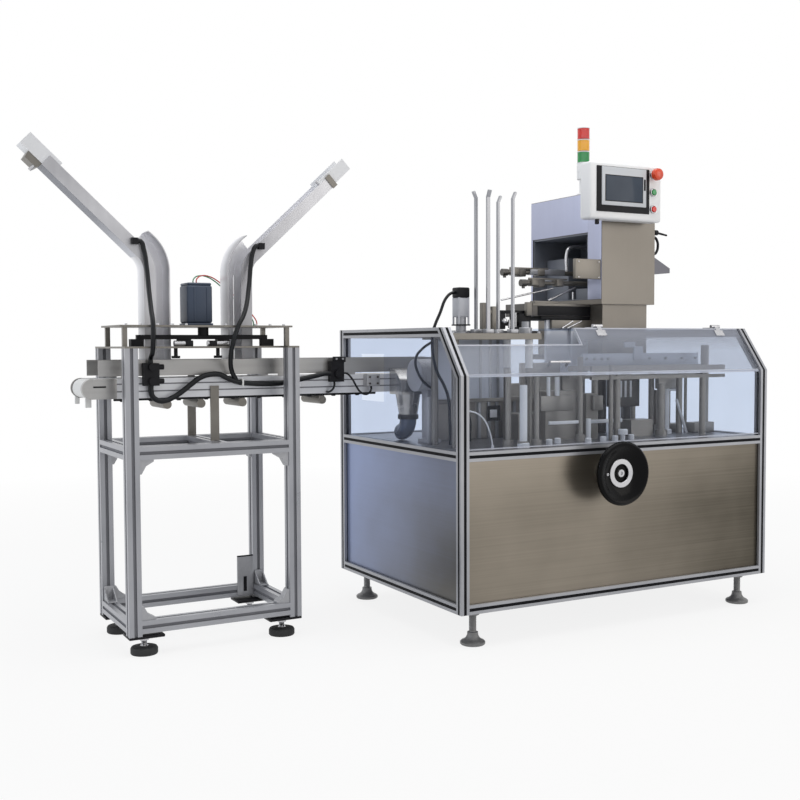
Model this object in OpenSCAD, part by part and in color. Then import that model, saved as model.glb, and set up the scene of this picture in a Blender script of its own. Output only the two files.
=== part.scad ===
// Automatic cartoner with its side feeder: a cabinet on levelling feet with clear guards,
// a pick-up tower, a carton magazine and an infeed conveyor on a profile stand.

/* [Cabinet] */
// Length of the cabinet along the front
cab_w = 1300; // [1200:10:1500]
// Depth of the cabinet from front to back
cab_d = 850; // [820:10:1000]
// Height of the frame above the floor
foot_h = 110; // [90:1:140]
// Height of the upper face of the deck rails
deck_h = 615; // [560:1:660]
// Height at which the front posts bend back
bend_h = 850; // [840:1:870]
// Height of the guard above the floor
guard_h = 1000; // [990:1:1010]
// How far the guard's top edge is set back from the front
guard_setback = 110; // [95:1:120]
// Width of the square cabinet profile
profile = 30; // [25:1:40]
// Thickness of the steel panels
panel_t = 3; // [2:0.5:5]
// Thickness of the clear guard sheets
clear_t = 8; // [5:0.5:10]
// Thickness of the deck plate
deck_t = 12; // [8:1:20]
// Diameter of a machine foot's disc
foot_disc_d = 80; // [60:1:95]
// Diameter of a machine foot's stem
foot_stem_d = 24; // [16:1:30]

/* [Front cover] */
// Gap between the cover and the frame around it
cover_gap = 5; // [5:0.5:8]
// Where the magazine notch in the cover ends
notch_x = 523; // [505:1:560]
// Height of the cover's edge in the notch
notch_h = 945; // [930:1:955]
// Length of the cover's handle
handle_l = 80; // [60:1:110]
// Diameter of the hinge knuckles
knuckle_d = 12; // [10:0.5:13]
// Diameter of the hinge pins
pin_d = 6; // [4:0.5:7]

/* [Handwheel] */
// Outer diameter of the handwheel
wheel_d = 210; // [170:1:230]
// Height of the handwheel's axis
wheel_h = 525; // [470:1:540]
// Place of the handwheel's axis along the front
wheel_x = 572; // [450:1:700]
// Thickness of the wheel's round rim
rim_d = 26; // [20:1:32]
// How far the rim's middle stands off the front of the frame
wheel_off = 72; // [66:1:90]
// Diameter of the wheel's shaft
shaft_d = 24; // [18:1:30]

/* [Tower] */
// Width of the tower housing
tower_w = 251; // [230:1:280]
// Distance from the left end of the cabinet to the tower
tower_x = 818; // [800:1:860]
// Distance from the front of the cabinet to the tower
tower_y = 340; // [330:1:360]
// Gap between the tower and the back of the cabinet
tower_gap = 70; // [50:1:90]
// Height of the lower edge of the tower housing
tower_foot_h = 1092; // [1080:1:1100]
// Height of the tower's top
tower_top_h = 1505; // [1480:1:1540]
// Height of the closed head at the tower's top
head_h = 147; // [120:1:170]
// Depth of the closed column at the tower's front
column_d = 81; // [70:1:95]
// Thickness of the tower's side and back walls
tower_wall = 12; // [8:1:18]

/* [Control box] */
// Width of the control box
ctrl_w = 332; // [300:1:360]
// Height of the control box
ctrl_h = 202; // [190:1:230]
// Depth of the control box
ctrl_d = 58; // [45:1:65]
// Height of the control box's lower edge
ctrl_z = 1390; // [1380:1:1400]
// Diameter of the push buttons
button_d = 22; // [18:1:26]
// Diameter of the emergency stop's mushroom head
stop_head_d = 44; // [36:1:48]
// Diameter of the stack light
lamp_d = 48; // [40:1:60]
// Height of one lamp of the stack light
lamp_h = 44; // [36:1:52]

/* [Magazine and carton track] */
// Length of the magazine plate
mag_l = 350; // [320:1:380]
// Depth of the magazine plate
mag_d = 190; // [170:1:200]
// Thickness of the magazine plate
mag_t = 20; // [14:1:24]
// Height of the magazine plate's upper face
mag_h = 982; // [978:1:990]
// Length of the magazine's guide rods above the plate
rod_l = 468; // [400:1:480]
// Length of the carton track
track_l = 620; // [520:1:640]
// Height of the carton track's upper bars
track_h = 868; // [850:1:880]

/* [Stand] */
// Length of the feeder stand
stand_l = 566; // [540:1:600]
// Depth of the feeder stand
stand_d = 370; // [350:1:400]
// Gap between the stand and the cabinet
stand_gap = 346; // [320:1:380]
// Distance from the front of the cabinet to the front of the stand
stand_y = 430; // [420:1:440]
// Width of the square stand profile
stand_p = 40; // [35:1:45]
// Height of the stand's lower end above the floor
stand_foot_h = 62; // [50:1:80]
// Height of the stand's upper end
stand_h = 938; // [930:1:946]
// Height of the upper face of the stand's middle rails
stand_mid_h = 641; // [600:1:680]

/* [Conveyor] */
// Length of the conveyor
conv_l = 1346; // [1300:1:1380]
// Overall width of the conveyor
conv_w = 160; // [140:1:170]
// Height of the conveyor's side beams
conv_beam_h = 62; // [55:1:70]
// Height of the conveyor's lower edge
conv_z = 783; // [775:1:790]
// Height of the guide strips beside the belt
guide_h = 50; // [40:1:54]
// Thickness of the belt
belt_t = 3; // [2:0.5:4]

/* [Feeder] */
// Width of a chute along the conveyor
chute_w = 84; // [76:1:90]
// Depth of a chute across the conveyor
chute_d = 72; // [66:1:78]
// Distance of each chute from the middle of the stand
chute_x = 138; // [130:1:150]
// Thickness of the chutes' sheet
chute_t = 3; // [2:0.5:4]
// Height of the inclined channel's section
channel_h = 38; // [34:1:44]
// Slope of the inclined channel
chute_slope = 43; // [40:1:48]
// Height at which a chute begins to bend
chute_bend_h = 1180; // [1170:1:1190]
// Length of the inclined channel
channel_l = 390; // [340:1:420]
// Thickness of the feeder plates
plate_t = 6; // [5:0.5:8]
// Rise of the upper feeder plate above the top of the stand
plate_rise = 72; // [66:1:82]

/* [Hidden] */
$fn = 64;
// Bend of the front posts
bend_a = atan(guard_setback / (guard_h - bend_h));
fit = 0.05;
eps = 1;

// A span of half-width h about c
function about(c, h) = [c - h, c + h];

// Points of a line that lies d behind the front of the posts
function line_low(d, z) = [d, z];
function line_bend(d) = [d, bend_h - d * tan(bend_a / 2)];
function line_top(d, z) = [guard_setback + d / cos(bend_a) - (guard_h - z) * tan(bend_a), z];

cover_in = 6;
cover_out = cover_in + clear_t;
cover_z = deck_h + cover_gap;
hinge_r = knuckle_d / 2;
pin_y = line_top(cover_out, guard_h)[0] - 1.4;
pin_z = guard_h + hinge_r + 1;
top_sheet_y = pin_y + hinge_r + 1;
hinge_x = [notch_x + 101, cab_w - 133];
leaf_t = 3;
leaf_l = 34;
leaf_w = 40;
mid_knuckle = 20;

// The deck's upper face lies a little below the rails
deck_top = deck_h - 3;

// The handwheel's parts along its axis
hub_r = 40;
wheel_front = -wheel_off - rim_d / 2;
boss_front = -30;
panel_y = 12;

// The tower's inner faces
tower_right = tower_x + tower_w;
tower_back_y = cab_d - tower_gap;
head_z = tower_top_h - head_h;
ped_in = 20;
base_top = 905;
base_t = 20;
bay_front = tower_y + column_d;

// The control box, its buttons and the stack light
ctrl_x = tower_x - 118;
ctrl_y = tower_y - 18 - ctrl_d;
ctrl_top = ctrl_z + ctrl_h;
ctrl_right = ctrl_x + ctrl_w;
bezel_l = 8;
bezel_w = 4;
button_x = ctrl_right - 42;
button_z = [ctrl_z + 46, ctrl_z + 107, ctrl_z + 170];
stop_travel = 5;
push_travel = 4;
lamp_x = tower_x + 17 + lamp_d / 8;
lamp_y = tower_y + 140;
lamp_base_z = tower_top_h + 57;
lamp_z = lamp_base_z + 60;

// The magazine and the carton track
mag_x = 60;
mag_y = 150;
track_x = 614;
track_y = [140, 262];
bar_w = 12;
upper_bar_h = 18;
lower_bar_h = 12;
bar_drop = 34;
track_pillar_x = [track_x + 116, track_x + 516];
pillar_d = 24;

// The stand stands beside the cabinet, and the conveyor runs along its middle
stand_x1 = -stand_gap;
stand_x0 = stand_x1 - stand_l;
stand_xm = (stand_x0 + stand_x1) / 2;
stand_y1 = stand_y + stand_d;
conv_ym = (stand_y + stand_y1) / 2;
conv_y0 = conv_ym - conv_w / 2;
conv_y1 = conv_ym + conv_w / 2;
conv_x0 = stand_x0 - 104;
conv_x1 = conv_x0 + conv_l;
conv_top = conv_z + conv_beam_h;
beam_w = 20;
belt_gap = 0.3;
belt_r = conv_beam_h / 2 - 1;
roller_r = belt_r - belt_t - belt_gap;
roller_in = conv_beam_h / 2;
guide_t = 3;
guide_z = conv_top + 7;
cross_x = stand_xm + 30;

// The feeder's plates, chutes and channels
low_plate_z = stand_h;
plate_h = stand_h + plate_rise;
chute_y0 = conv_ym - chute_d / 2;
chute_foot = guide_z + guide_h - 2;
bend_r = 60;
tip_l = 125;
tip_in = 40;
tip_t = 4;
seat = 0.3;

// The inclined channel starts where the bend ends, so the tip's reach follows from both
chan_x = -chute_x - chute_w / 2 - bend_r * (1 - cos(90 - chute_slope));
chan_z = chute_bend_h + bend_r * sin(90 - chute_slope);
tip_end = channel_l - tip_in + tip_l;
tip_low = chute_t + seat;
tip_left = stand_xm + chan_x - tip_end * cos(chute_slope) + tip_low * sin(chute_slope);

// The part's origin is under the middle of its box
mid_x = (tip_left + cab_w) / 2;
mid_y = (wheel_front + cab_d) / 2;

// Shared shapes

module place() {
    translate([-mid_x, -mid_y, 0]) children();
}

module block(x, y, z) {
    translate([x[0], y[0], z[0]]) cube([x[1] - x[0], y[1] - y[0], z[1] - z[0]]);
}

module rod_z(x, y, z, d) {
    translate([x, y, z[0]]) cylinder(d = d, h = z[1] - z[0]);
}

module rod_x(x, y, z, d) {
    translate([x[0], y, z]) rotate([0, 90, 0]) cylinder(d = d, h = x[1] - x[0]);
}

module rod_y(x, y, z, d) {
    translate([x, y[1], z]) rotate([90, 0, 0]) cylinder(d = d, h = y[1] - y[0]);
}

// An outline in the Y-Z plane, drawn out along X
module along_x(x, points) {
    translate([x[0], 0, 0]) rotate([90, 0, 90]) linear_extrude(x[1] - x[0]) polygon(points);
}

// An outline in the X-Z plane, drawn out along Y
module along_y(y, points) {
    translate([0, y[1], 0]) rotate([90, 0, 0]) linear_extrude(y[1] - y[0]) polygon(points);
}

// A tube swept along points, with flat ends
function unit(v) = v / norm(v);
function heading(p, i) = unit(p[min(i + 1, len(p) - 1)] - p[max(i - 1, 0)]);
function side_of(t) = unit(cross(t, abs(t[2]) < 0.9 ? [0, 0, 1] : [0, 1, 0]));
function ring(c, t, r, n) = let (s = side_of(t), u = cross(s, t))
    [for (k = [0:n - 1]) c + r * (cos(360 * k / n) * s + sin(360 * k / n) * u)];
module sweep(p, d, n = 8) {
    rings = [for (i = [0:len(p) - 1]) each ring(p[i], heading(p, i), d / 2, n)];
    last = (len(p) - 1) * n;
    sides = [for (i = [0:len(p) - 2], k = [0:n - 1])
        [i * n + k, i * n + (k + 1) % n, (i + 1) * n + (k + 1) % n, (i + 1) * n + k]];
    polyhedron(rings, concat([[for (k = [n - 1:-1:0]) k]], sides, [[for (k = [0:n - 1]) last + k]]));
}

// Cabinet

module front_post(x) {
    along_x([x, x + profile], [line_low(0, foot_h), line_bend(0), line_top(0, guard_h),
        line_top(profile, guard_h), line_bend(profile), line_low(profile, foot_h)]);
}

module cabinet_posts() {
    color("gainsboro") place() for (x = [0, cab_w - profile]) {
        front_post(x);
        block([x, x + profile], [cab_d - profile, cab_d], [foot_h, guard_h]);
    }
}

module cabinet_rails() {
    inner_x = [profile, cab_w - profile];
    inner_y = [profile, cab_d - profile];
    color("gainsboro") place() {
        for (z = [foot_h, deck_h - profile]) {
            for (y = [0, cab_d - profile]) block(inner_x, [y, y + profile], [z, z + profile]);
            for (x = [0, cab_w - profile]) block([x, x + profile], inner_y, [z, z + profile]);
        }
        for (x = [0, cab_w - profile]) along_x([x, x + profile], [line_top(profile, guard_h - profile),
            line_top(profile, guard_h), [inner_y[1], guard_h], [inner_y[1], guard_h - profile]]);
        block(inner_x, [cab_d - profile, cab_d], [guard_h - profile, guard_h]);
    }
}

module base_plate() {
    color("slategray") place() block([profile, cab_w - profile], [profile, cab_d - profile],
        [foot_h, foot_h + deck_t]);
}

module deck_plate() {
    color("lightsteelblue") place() block([profile, cab_w - profile], [profile, cab_d - profile],
        [deck_top - deck_t, deck_top]);
}

panel_z = [foot_h + profile, deck_h - profile];

module front_panel() {
    color("tan") place() difference() {
        block([profile, cab_w - profile], [panel_y, panel_y + panel_t], panel_z);
        rod_y(wheel_x, [panel_y - eps, panel_y + panel_t + eps], wheel_h, shaft_d + 12);
    }
}

module side_panels() {
    color("lightslategray") place() {
        for (x = [panel_y, cab_w - panel_y - panel_t])
            block([x, x + panel_t], [profile, cab_d - profile], panel_z);
        block([profile, cab_w - profile], [cab_d - panel_y - panel_t, cab_d - panel_y], panel_z);
    }
}

module machine_feet() {
    foot_in = 58;
    disc_h = 14;
    cone_h = 26;
    color("gray") place() for (x = [foot_in + 20, cab_w - foot_in - 20], y = [foot_in, cab_d - foot_in]) {
        rod_z(x, y, [0, disc_h], foot_disc_d);
        translate([x, y, disc_h]) cylinder(d1 = foot_disc_d - 6, d2 = foot_stem_d + 10, h = cone_h);
        rod_z(x, y, [disc_h + cone_h, foot_h], foot_stem_d);
    }
}

guard_x = 11;
function end_outline(z1) = [line_low(profile, deck_h), line_bend(profile), line_top(profile, z1),
    [cab_d - profile, z1], [cab_d - profile, deck_h]];

module left_guard() {
    margin = 12;
    color("lightblue", 0.4) place() difference() {
        along_x([guard_x, guard_x + clear_t], end_outline(guard_h - profile));
        block([guard_x - eps, guard_x + clear_t + eps], [conv_y0 - margin, conv_y1 + margin],
            [conv_z - 3 * margin, guide_z + guide_h + margin]);
    }
}

module fixed_guards() {
    color("lightblue", 0.4) place() {
        along_x([cab_w - guard_x - clear_t, cab_w - guard_x], end_outline(guard_h - profile));
        block([profile, cab_w - profile], [cab_d - guard_x - clear_t, cab_d - guard_x],
            [deck_h, guard_h - profile]);
        block([notch_x, cab_w - profile], [top_sheet_y, tower_y + ped_in], [guard_h - clear_t, guard_h]);
    }
}

// Front cover

module cover_outline(z1) {
    along_x([0, cab_w], [line_low(cover_in, cover_z), line_bend(cover_in), line_top(cover_in, z1),
        line_top(cover_out, z1), line_bend(cover_out), line_low(cover_out, cover_z)]);
}

module front_cover() {
    side = profile + cover_gap;
    color("aliceblue", 0.4) place() intersection() {
        cover_outline(guard_h);
        union() {
            block([side, cab_w - side], [0, cab_d], [cover_z, notch_h]);
            block([notch_x, cab_w - side], [0, cab_d], [notch_h, guard_h]);
        }
    }
}

// Puts its children on the cover's outer face, with Y pointing out and Z up the sheet
module on_cover(x, z) {
    slanted = z > line_bend(cover_in)[1];
    translate([x, slanted ? line_top(cover_in, z)[0] : cover_in, z]) rotate([slanted ? -bend_a : 0, 0, 0])
        mirror([0, 1, 0]) children();
}

module cover_handle() {
    handle_d = 8;
    reach = 22;
    below_edge = 69;
    from_notch = 143;
    color("silver") place() on_cover(notch_x - from_notch, notch_h - below_edge) {
        for (x = [-1, 1] * (handle_l - handle_d) / 2) rod_y(x, [0, reach], 0, handle_d);
        rod_x([-handle_l / 2, handle_l / 2], reach, 0, handle_d);
    }
}

module cover_hinges() {
    strip_w = mid_knuckle - 2;
    wide_l = leaf_l - 10;
    color("silver") place() for (x = hinge_x) difference() {
        union() {
            rod_x(about(x, mid_knuckle / 2), pin_y, pin_z, knuckle_d);
            on_cover(x, guard_h) translate([0, 0, -leaf_l]) {
                translate([-leaf_w / 2, 0, 0]) cube([leaf_w, leaf_t, wide_l]);
                translate([-strip_w / 2, 0, 0]) cube([strip_w, leaf_t, leaf_l + hinge_r]);
            }
        }
        rod_x(about(x, mid_knuckle), pin_y, pin_z, pin_d + 2 * fit);
    }
}

module guard_hinges() {
    color("silver") place() for (x = hinge_x) {
        rod_x([x - leaf_w / 2, x + leaf_w / 2], pin_y, pin_z, pin_d);
        for (s = [x - leaf_w / 2, x + mid_knuckle / 2 + 0.5]) {
            rod_x([s, s + leaf_w / 2 - mid_knuckle / 2 - 0.5], pin_y, pin_z, knuckle_d);
            block([s, s + leaf_w / 2 - mid_knuckle / 2 - 0.5], [pin_y, top_sheet_y + leaf_l],
                [guard_h, guard_h + leaf_t]);
        }
        block([x - leaf_w / 2, x + leaf_w / 2], [top_sheet_y + 4, top_sheet_y + leaf_l],
            [guard_h, guard_h + leaf_t]);
    }
}

// Handwheel

module handwheel() {
    web_t = 8;
    hub_back = boss_front - cover_gap;
    rim_y = -wheel_off;
    color("black") place() translate([wheel_x, 0, wheel_h]) rotate([90, 0, 0]) {
        translate([0, 0, -rim_y]) rotate_extrude() translate([wheel_d / 2 - rim_d / 2, 0]) circle(d = rim_d);
        translate([0, 0, -rim_y - rim_d / 2]) cylinder(r = wheel_d / 2 - rim_d / 2, h = web_t);
        translate([0, 0, -hub_back]) cylinder(r = hub_r, h = wheel_off + hub_back - 4);
        translate([0, 0, -panel_y - 60]) cylinder(d = shaft_d, h = 60 + panel_y - hub_back + eps);
    }
}

module wheel_bearing() {
    flange_d = 90;
    boss_d = 64;
    flange_t = 10;
    color("dimgray") place() difference() {
        union() {
            rod_y(wheel_x, [panel_y - flange_t, panel_y], wheel_h, flange_d);
            rod_y(wheel_x, [boss_front, panel_y], wheel_h, boss_d);
        }
        rod_y(wheel_x, [boss_front - eps, panel_y + eps], wheel_h, shaft_d + 2 * fit);
    }
}

// Tower

module tower_pillars() {
    post_d = 40;
    post_in = 45;
    px = [tower_x + ped_in + post_in, tower_right - ped_in - post_in];
    py = [bay_front, tower_back_y - post_in];
    color("silver") place() {
        for (x = px, y = py) rod_z(x, y, [deck_top, base_top - base_t + eps], post_d);
        block([tower_x, tower_right], [tower_y + ped_in, tower_back_y], [base_top - base_t, base_top]);
    }
}

module tower_pedestal() {
    color("tan") place() block([tower_x + ped_in, tower_right - ped_in],
        [tower_y + ped_in, tower_back_y - ped_in], [base_top, tower_foot_h]);
}

module tower_housing() {
    bay_floor = 18;
    color("tan") place() difference() {
        block([tower_x, tower_right], [tower_y, tower_back_y], [tower_foot_h, tower_top_h]);
        block([tower_x - eps, tower_right - tower_wall], [bay_front, tower_back_y - tower_wall],
            [tower_foot_h + bay_floor, head_z]);
    }
}

module tower_fittings() {
    cover_w = 115;
    cover_z = [tower_foot_h + 88, tower_foot_h + 160];
    hood_z = [tower_foot_h + 113, tower_foot_h + 178];
    hood_w = 80;
    lever_z = head_z + 5;
    lever_y = tower_y + 15;
    hood_y = [tower_y + 5, tower_y + 225];
    cover_d = 16;
    color("tan") place() {
        block([tower_x - cover_w, tower_x], [tower_y + 4, tower_y + 4 + cover_d], cover_z);
        along_y(hood_y, [[tower_right, hood_z[0]], [tower_right, hood_z[1]],
            [tower_right + hood_w, hood_z[0] + 24], [tower_right + hood_w, hood_z[0] + 6]]);
    }
    color("black") place() {
        rod_x([tower_right, tower_right + 26], lever_y, lever_z, 20);
        rod_x([tower_right + 20, tower_right + 72], lever_y, lever_z, 9);
    }
}

// Control box, buttons and stack light

module control_box() {
    color("whitesmoke") place() {
        difference() {
            block([ctrl_x, ctrl_right], [ctrl_y, ctrl_y + ctrl_d], [ctrl_z, ctrl_top]);
            for (z = button_z) rod_y(button_x, [ctrl_y - eps, ctrl_y + 30], z, button_d - 2);
        }
        block([tower_x + 10, tower_right - 60], [ctrl_y + ctrl_d, tower_y], [ctrl_z + 10, ctrl_z + 100]);
    }
}

module control_panel() {
    panel_x = [ctrl_x + 30, ctrl_x + 272];
    z = [ctrl_z + 27, ctrl_z + 188];
    color("black") place() {
        block(panel_x, [ctrl_y - 3, ctrl_y], z);
        block(panel_x + [20, -18], [ctrl_y - 9, ctrl_y - 2], z + [23, -2]);
    }
}

module bezel(z) {
    difference() {
        rod_y(button_x, [ctrl_y - bezel_l, ctrl_y], z, button_d + 2 * bezel_w);
        rod_y(button_x, [ctrl_y - bezel_l - eps, ctrl_y + eps], z, button_d + 2);
    }
}

module button_bezels() {
    color("silver") place() for (z = button_z) bezel(z);
}

// A button's plunger slides in the bore behind its bezel
module plunger(z, out) {
    rod_y(button_x, [ctrl_y - out, ctrl_y + 20], z, button_d - 2 - 2 * fit);
}

module emergency_stop() {
    head_l = 22;
    neck = bezel_l + stop_travel + 3;
    color("orangered") place() {
        plunger(button_z[2], neck + eps);
        rod_y(button_x, [ctrl_y - neck - head_l, ctrl_y - neck], button_z[2], stop_head_d);
    }
}

module start_button() {
    color("green") place() plunger(button_z[1], bezel_l + push_travel);
}

module stop_button() {
    color("red") place() plunger(button_z[0], bezel_l + push_travel);
}

module stack_light_base() {
    color("white") place() {
        rod_z(lamp_x, lamp_y, [lamp_base_z, lamp_z], lamp_d);
        rod_z(lamp_x, lamp_y, [tower_top_h, lamp_base_z + eps], lamp_d * 0.6);
    }
}

module lamp(i) {
    rod_z(lamp_x, lamp_y, [lamp_z + i * lamp_h, lamp_z + (i + 1) * lamp_h], lamp_d);
}

module red_lamp() { color("crimson") place() lamp(2); }
module amber_lamp() { color("orange") place() lamp(1); }
module green_lamp() { color("seagreen") place() lamp(0); }

// Magazine, lift and carton track

mag_z = mag_h - mag_t;

module magazine_plate() {
    inset = 30;
    hole = [70, 90];
    color("silver") place() {
        difference() {
            block([mag_x, mag_x + mag_l], [mag_y, mag_y + mag_d], [mag_z, mag_h]);
            block([mag_x + 148, mag_x + 148 + hole[0]], [mag_y + 40, mag_y + 40 + hole[1]],
                [mag_z - eps, mag_h + eps]);
        }
        for (x = [mag_x + inset, mag_x + mag_l - inset], y = [mag_y + inset, mag_y + mag_d - inset])
            rod_z(x, y, [deck_top, mag_z + eps], pillar_d);
    }
}

// Guide rods around the stack of flat cartons, each with its top bent outwards
rod_size = [12, 7];
rod_tip = 26;
rods = [[133, 66, 90], [153, 24, 180], [250, 24, -90], [260, 126, -90]];

module guide_rod(x, y, turn) {
    translate([mag_x + x, mag_y + y, mag_h]) rotate([0, 0, turn]) {
        translate([-rod_size[0] / 2, -rod_size[1] / 2, 0]) cube([rod_size[0], rod_size[1], rod_l - rod_tip]);
        translate([0, 0, rod_l - rod_tip]) rotate([-25, 0, 0])
            translate([-rod_size[0] / 2, -rod_size[1] / 2, -2]) cube([rod_size[0], rod_size[1], rod_tip]);
    }
}

module magazine_rods() {
    color("silver") place() for (r = rods) guide_rod(r[0], r[1], r[2]);
}

module lift_motor() {
    x = mag_x + 102;
    y = mag_y + 110;
    size = 42;
    neck_h = 30;
    body_h = 88;
    cap_h = 34;
    color("lightgray") place() {
        rod_z(x, y, [mag_h, mag_h + neck_h + eps], size - 8);
        block([x - size / 2, x + size / 2], [y - size / 2, y + size / 2],
            [mag_h + neck_h, mag_h + neck_h + body_h + eps]);
        rod_z(x, y, [mag_h + neck_h + body_h, mag_h + neck_h + body_h + cap_h], size - 4);
    }
}

module pickup_arms() {
    arm_y = [bay_front + 60, bay_front + 130];
    arm_z = [tower_foot_h + 78, tower_foot_h + 120];
    arm_x = [tower_x - 258, tower_x - 293];
    frame_z = [tower_foot_h - 46, tower_foot_h];
    color("gray") place() {
        for (i = [0, 1]) {
            rod_x([arm_x[i], tower_right - tower_wall], arm_y[i], arm_z[i], 22);
            for (s = [36, 150]) block([arm_x[i] + s, arm_x[i] + s + 34], [arm_y[i] - 22, arm_y[i] + 18],
                [arm_z[i] - 20, arm_z[i] + 20]);
        }
        difference() {
            block([tower_x - 245, tower_x + ped_in], [bay_front + 10, bay_front + 180], frame_z);
            block([tower_x - 225, tower_x - 10], [bay_front + 26, bay_front + 164],
                [frame_z[0] - eps, frame_z[1] + eps]);
        }
    }
}

module carton_track() {
    color("silver") place() for (y = track_y) {
        block([track_x, track_x + track_l], [y, y + bar_w], [track_h - upper_bar_h, track_h]);
        block([track_x, track_x + track_l], [y, y + bar_w],
            [track_h - bar_drop - lower_bar_h, track_h - bar_drop]);
        for (x = track_pillar_x) {
            rod_z(x, y + bar_w / 2, [deck_top, track_h - bar_drop - lower_bar_h + eps], pillar_d);
            rod_z(x, y + bar_w / 2, [track_h - bar_drop - eps, track_h - upper_bar_h + eps], bar_w - 2);
        }
    }
}

// Folding and closing works on the deck: each column has a place, a diameter and a height,
// and each block a corner, a length, a depth and a height
works = [[251, 114, 20, 250], [274, 66, 18, 200], [350, 95, 18, 240], [587, 169, 20, 290],
    [690, 300, 26, 160], [980, 200, 30, 190], [1040, 320, 22, 230]];
blocks = [[500, 250, 130, 60, 170], [650, 215, 50, 40, 160], [850, 210, 100, 60, 60],
    [430, 312, 150, 98, 90]];

module folding_works() {
    color("dimgray") place() {
        for (w = works) {
            rod_z(w[0], w[1], [deck_top, deck_top + w[3]], w[2]);
            rod_z(w[0], w[1], [deck_top, deck_top + 22], w[2] + 16);
        }
        for (b = blocks) block([b[0], b[0] + b[2]], [b[1], b[1] + b[3]], [deck_top, deck_top + b[4]]);
    }
}

// Dark plates behind the works, tied by one beam: each has a place, a length and a height
plate_y = 430;
plate_w = 22;
plates = [[150, 180, 160], [338, 182, 193], [528, 172, 266], [708, 107, 220]];

module works_plates() {
    beam_w = 18;
    beam_z = deck_top + 130;
    color("dimgray") place() {
        for (p = plates) block([p[0], p[0] + p[1]], [plate_y, plate_y + plate_w], [deck_top, deck_top + p[2]]);
        block([plates[0][0], plates[3][0] + plates[3][1]], [plate_y - beam_w, plate_y + eps],
            [beam_z, beam_z + beam_w]);
    }
}

// Reject chute beside the conveyor's end, with its hose down to the deck

reject_x = 40;
reject_y = conv_y0 - 46;
funnel_z = [690, 775];

module reject_chute() {
    w = 96;
    r = 100;
    color("silver") place() {
        translate([reject_x, conv_y0, funnel_z[1]]) rotate([90, 0, 90])
            difference() {
                rotate([0, 0, 90]) rotate_extrude(angle = 90) square([r - 10, w]);
                translate([0, 0, 3]) rotate([0, 0, 90]) rotate_extrude(angle = 90) square([r - 13, w]);
            }
        translate([reject_x + w / 2, reject_y, funnel_z[0]]) difference() {
            cylinder(d1 = 60, d2 = 88, h = funnel_z[1] - funnel_z[0] + eps);
            translate([0, 0, -eps]) cylinder(d1 = 54, d2 = 82, h = funnel_z[1] - funnel_z[0] + 3 * eps);
        }
    }
}

module reject_hose() {
    hose_d = 58;
    bend = funnel_z[0] - deck_top - hose_d / 2 - seat;
    color("slategray") place() translate([reject_x + 48, reject_y, funnel_z[0]]) rotate([0, 0, -90])
        translate([-bend, 0, 0]) rotate([90, 0, 0]) mirror([0, 1, 0])
        rotate_extrude(angle = 90) translate([bend, 0]) circle(d = hose_d);
}

module drive_motor() {
    x = 62;
    y = 400;
    z = deck_top + 230;
    d = 110;
    color("gray") place() {
        rod_x([x, x + 150], y, z, d);
        rod_x([x + 150 - eps, x + 190], y, z, 60);
        block([x + 40, x + 80], [y - 20, y + 20], [deck_top, z]);
    }
}

// Stand

post_x = [stand_x0, stand_x1 - stand_p];
post_y = [stand_y, stand_y1 - stand_p];

module stand_posts() {
    color("gainsboro") place() for (x = post_x, y = post_y)
        block([x, x + stand_p], [y, y + stand_p], [stand_foot_h, stand_h]);
}

// A gusset fills the corner between a post and a rail
module gusset_x(x, y, z, sx, sz) {
    g = 44;
    along_y([y + 4, y + stand_p - 4], [[x, z], [x + sx * g, z], [x + sx * g, z + sz * 6],
        [x + sx * g * 0.45, z + sz * g * 0.45], [x + sx * 6, z + sz * g], [x, z + sz * g]]);
}

stand_rail_z = [stand_foot_h + 8, stand_mid_h - stand_p];
stand_in_x = [stand_x0 + stand_p, stand_x1 - stand_p];
stand_in_y = [stand_y + stand_p, stand_y1 - stand_p];

module stand_rails() {
    color("gainsboro") place() {
        for (z = stand_rail_z) {
            for (y = post_y) block(stand_in_x, [y, y + stand_p], [z, z + stand_p]);
            for (x = post_x) block([x, x + stand_p], stand_in_y, [z, z + stand_p]);
        }
        block(about(cross_x, stand_p / 2), stand_in_y, [stand_rail_z[1], stand_mid_h]);
    }
}

// The lower rails carry their gussets on top, and the middle rails below
module stand_gussets() {
    color("silver") place() for (y = post_y, side = [0, 1]) {
        gusset_x(stand_in_x[side], y, stand_rail_z[0] + stand_p, 1 - 2 * side, 1);
        gusset_x(stand_in_x[side], y, stand_rail_z[1], 1 - 2 * side, -1);
    }
}

module stand_feet() {
    disc_d = 84;
    disc_h = 24;
    plate = [110, 78];
    plate_h = 8;
    color("dimgray") place() for (x = [0, 1], y = [0, 1]) {
        fx = x ? stand_x1 - plate[0] / 2 : stand_x0 + plate[0] / 2;
        fy = y ? stand_y1 - plate[1] / 2 : stand_y + plate[1] / 2;
        rod_z(fx, fy, [0, disc_h], disc_d);
        rod_z(fx, fy, [disc_h - eps, stand_foot_h - plate_h + eps], 20);
        block(about(fx, plate[0] / 2), about(fy, plate[1] / 2),
            [stand_foot_h - plate_h, stand_foot_h]);
    }
}

// Conveyor

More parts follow.
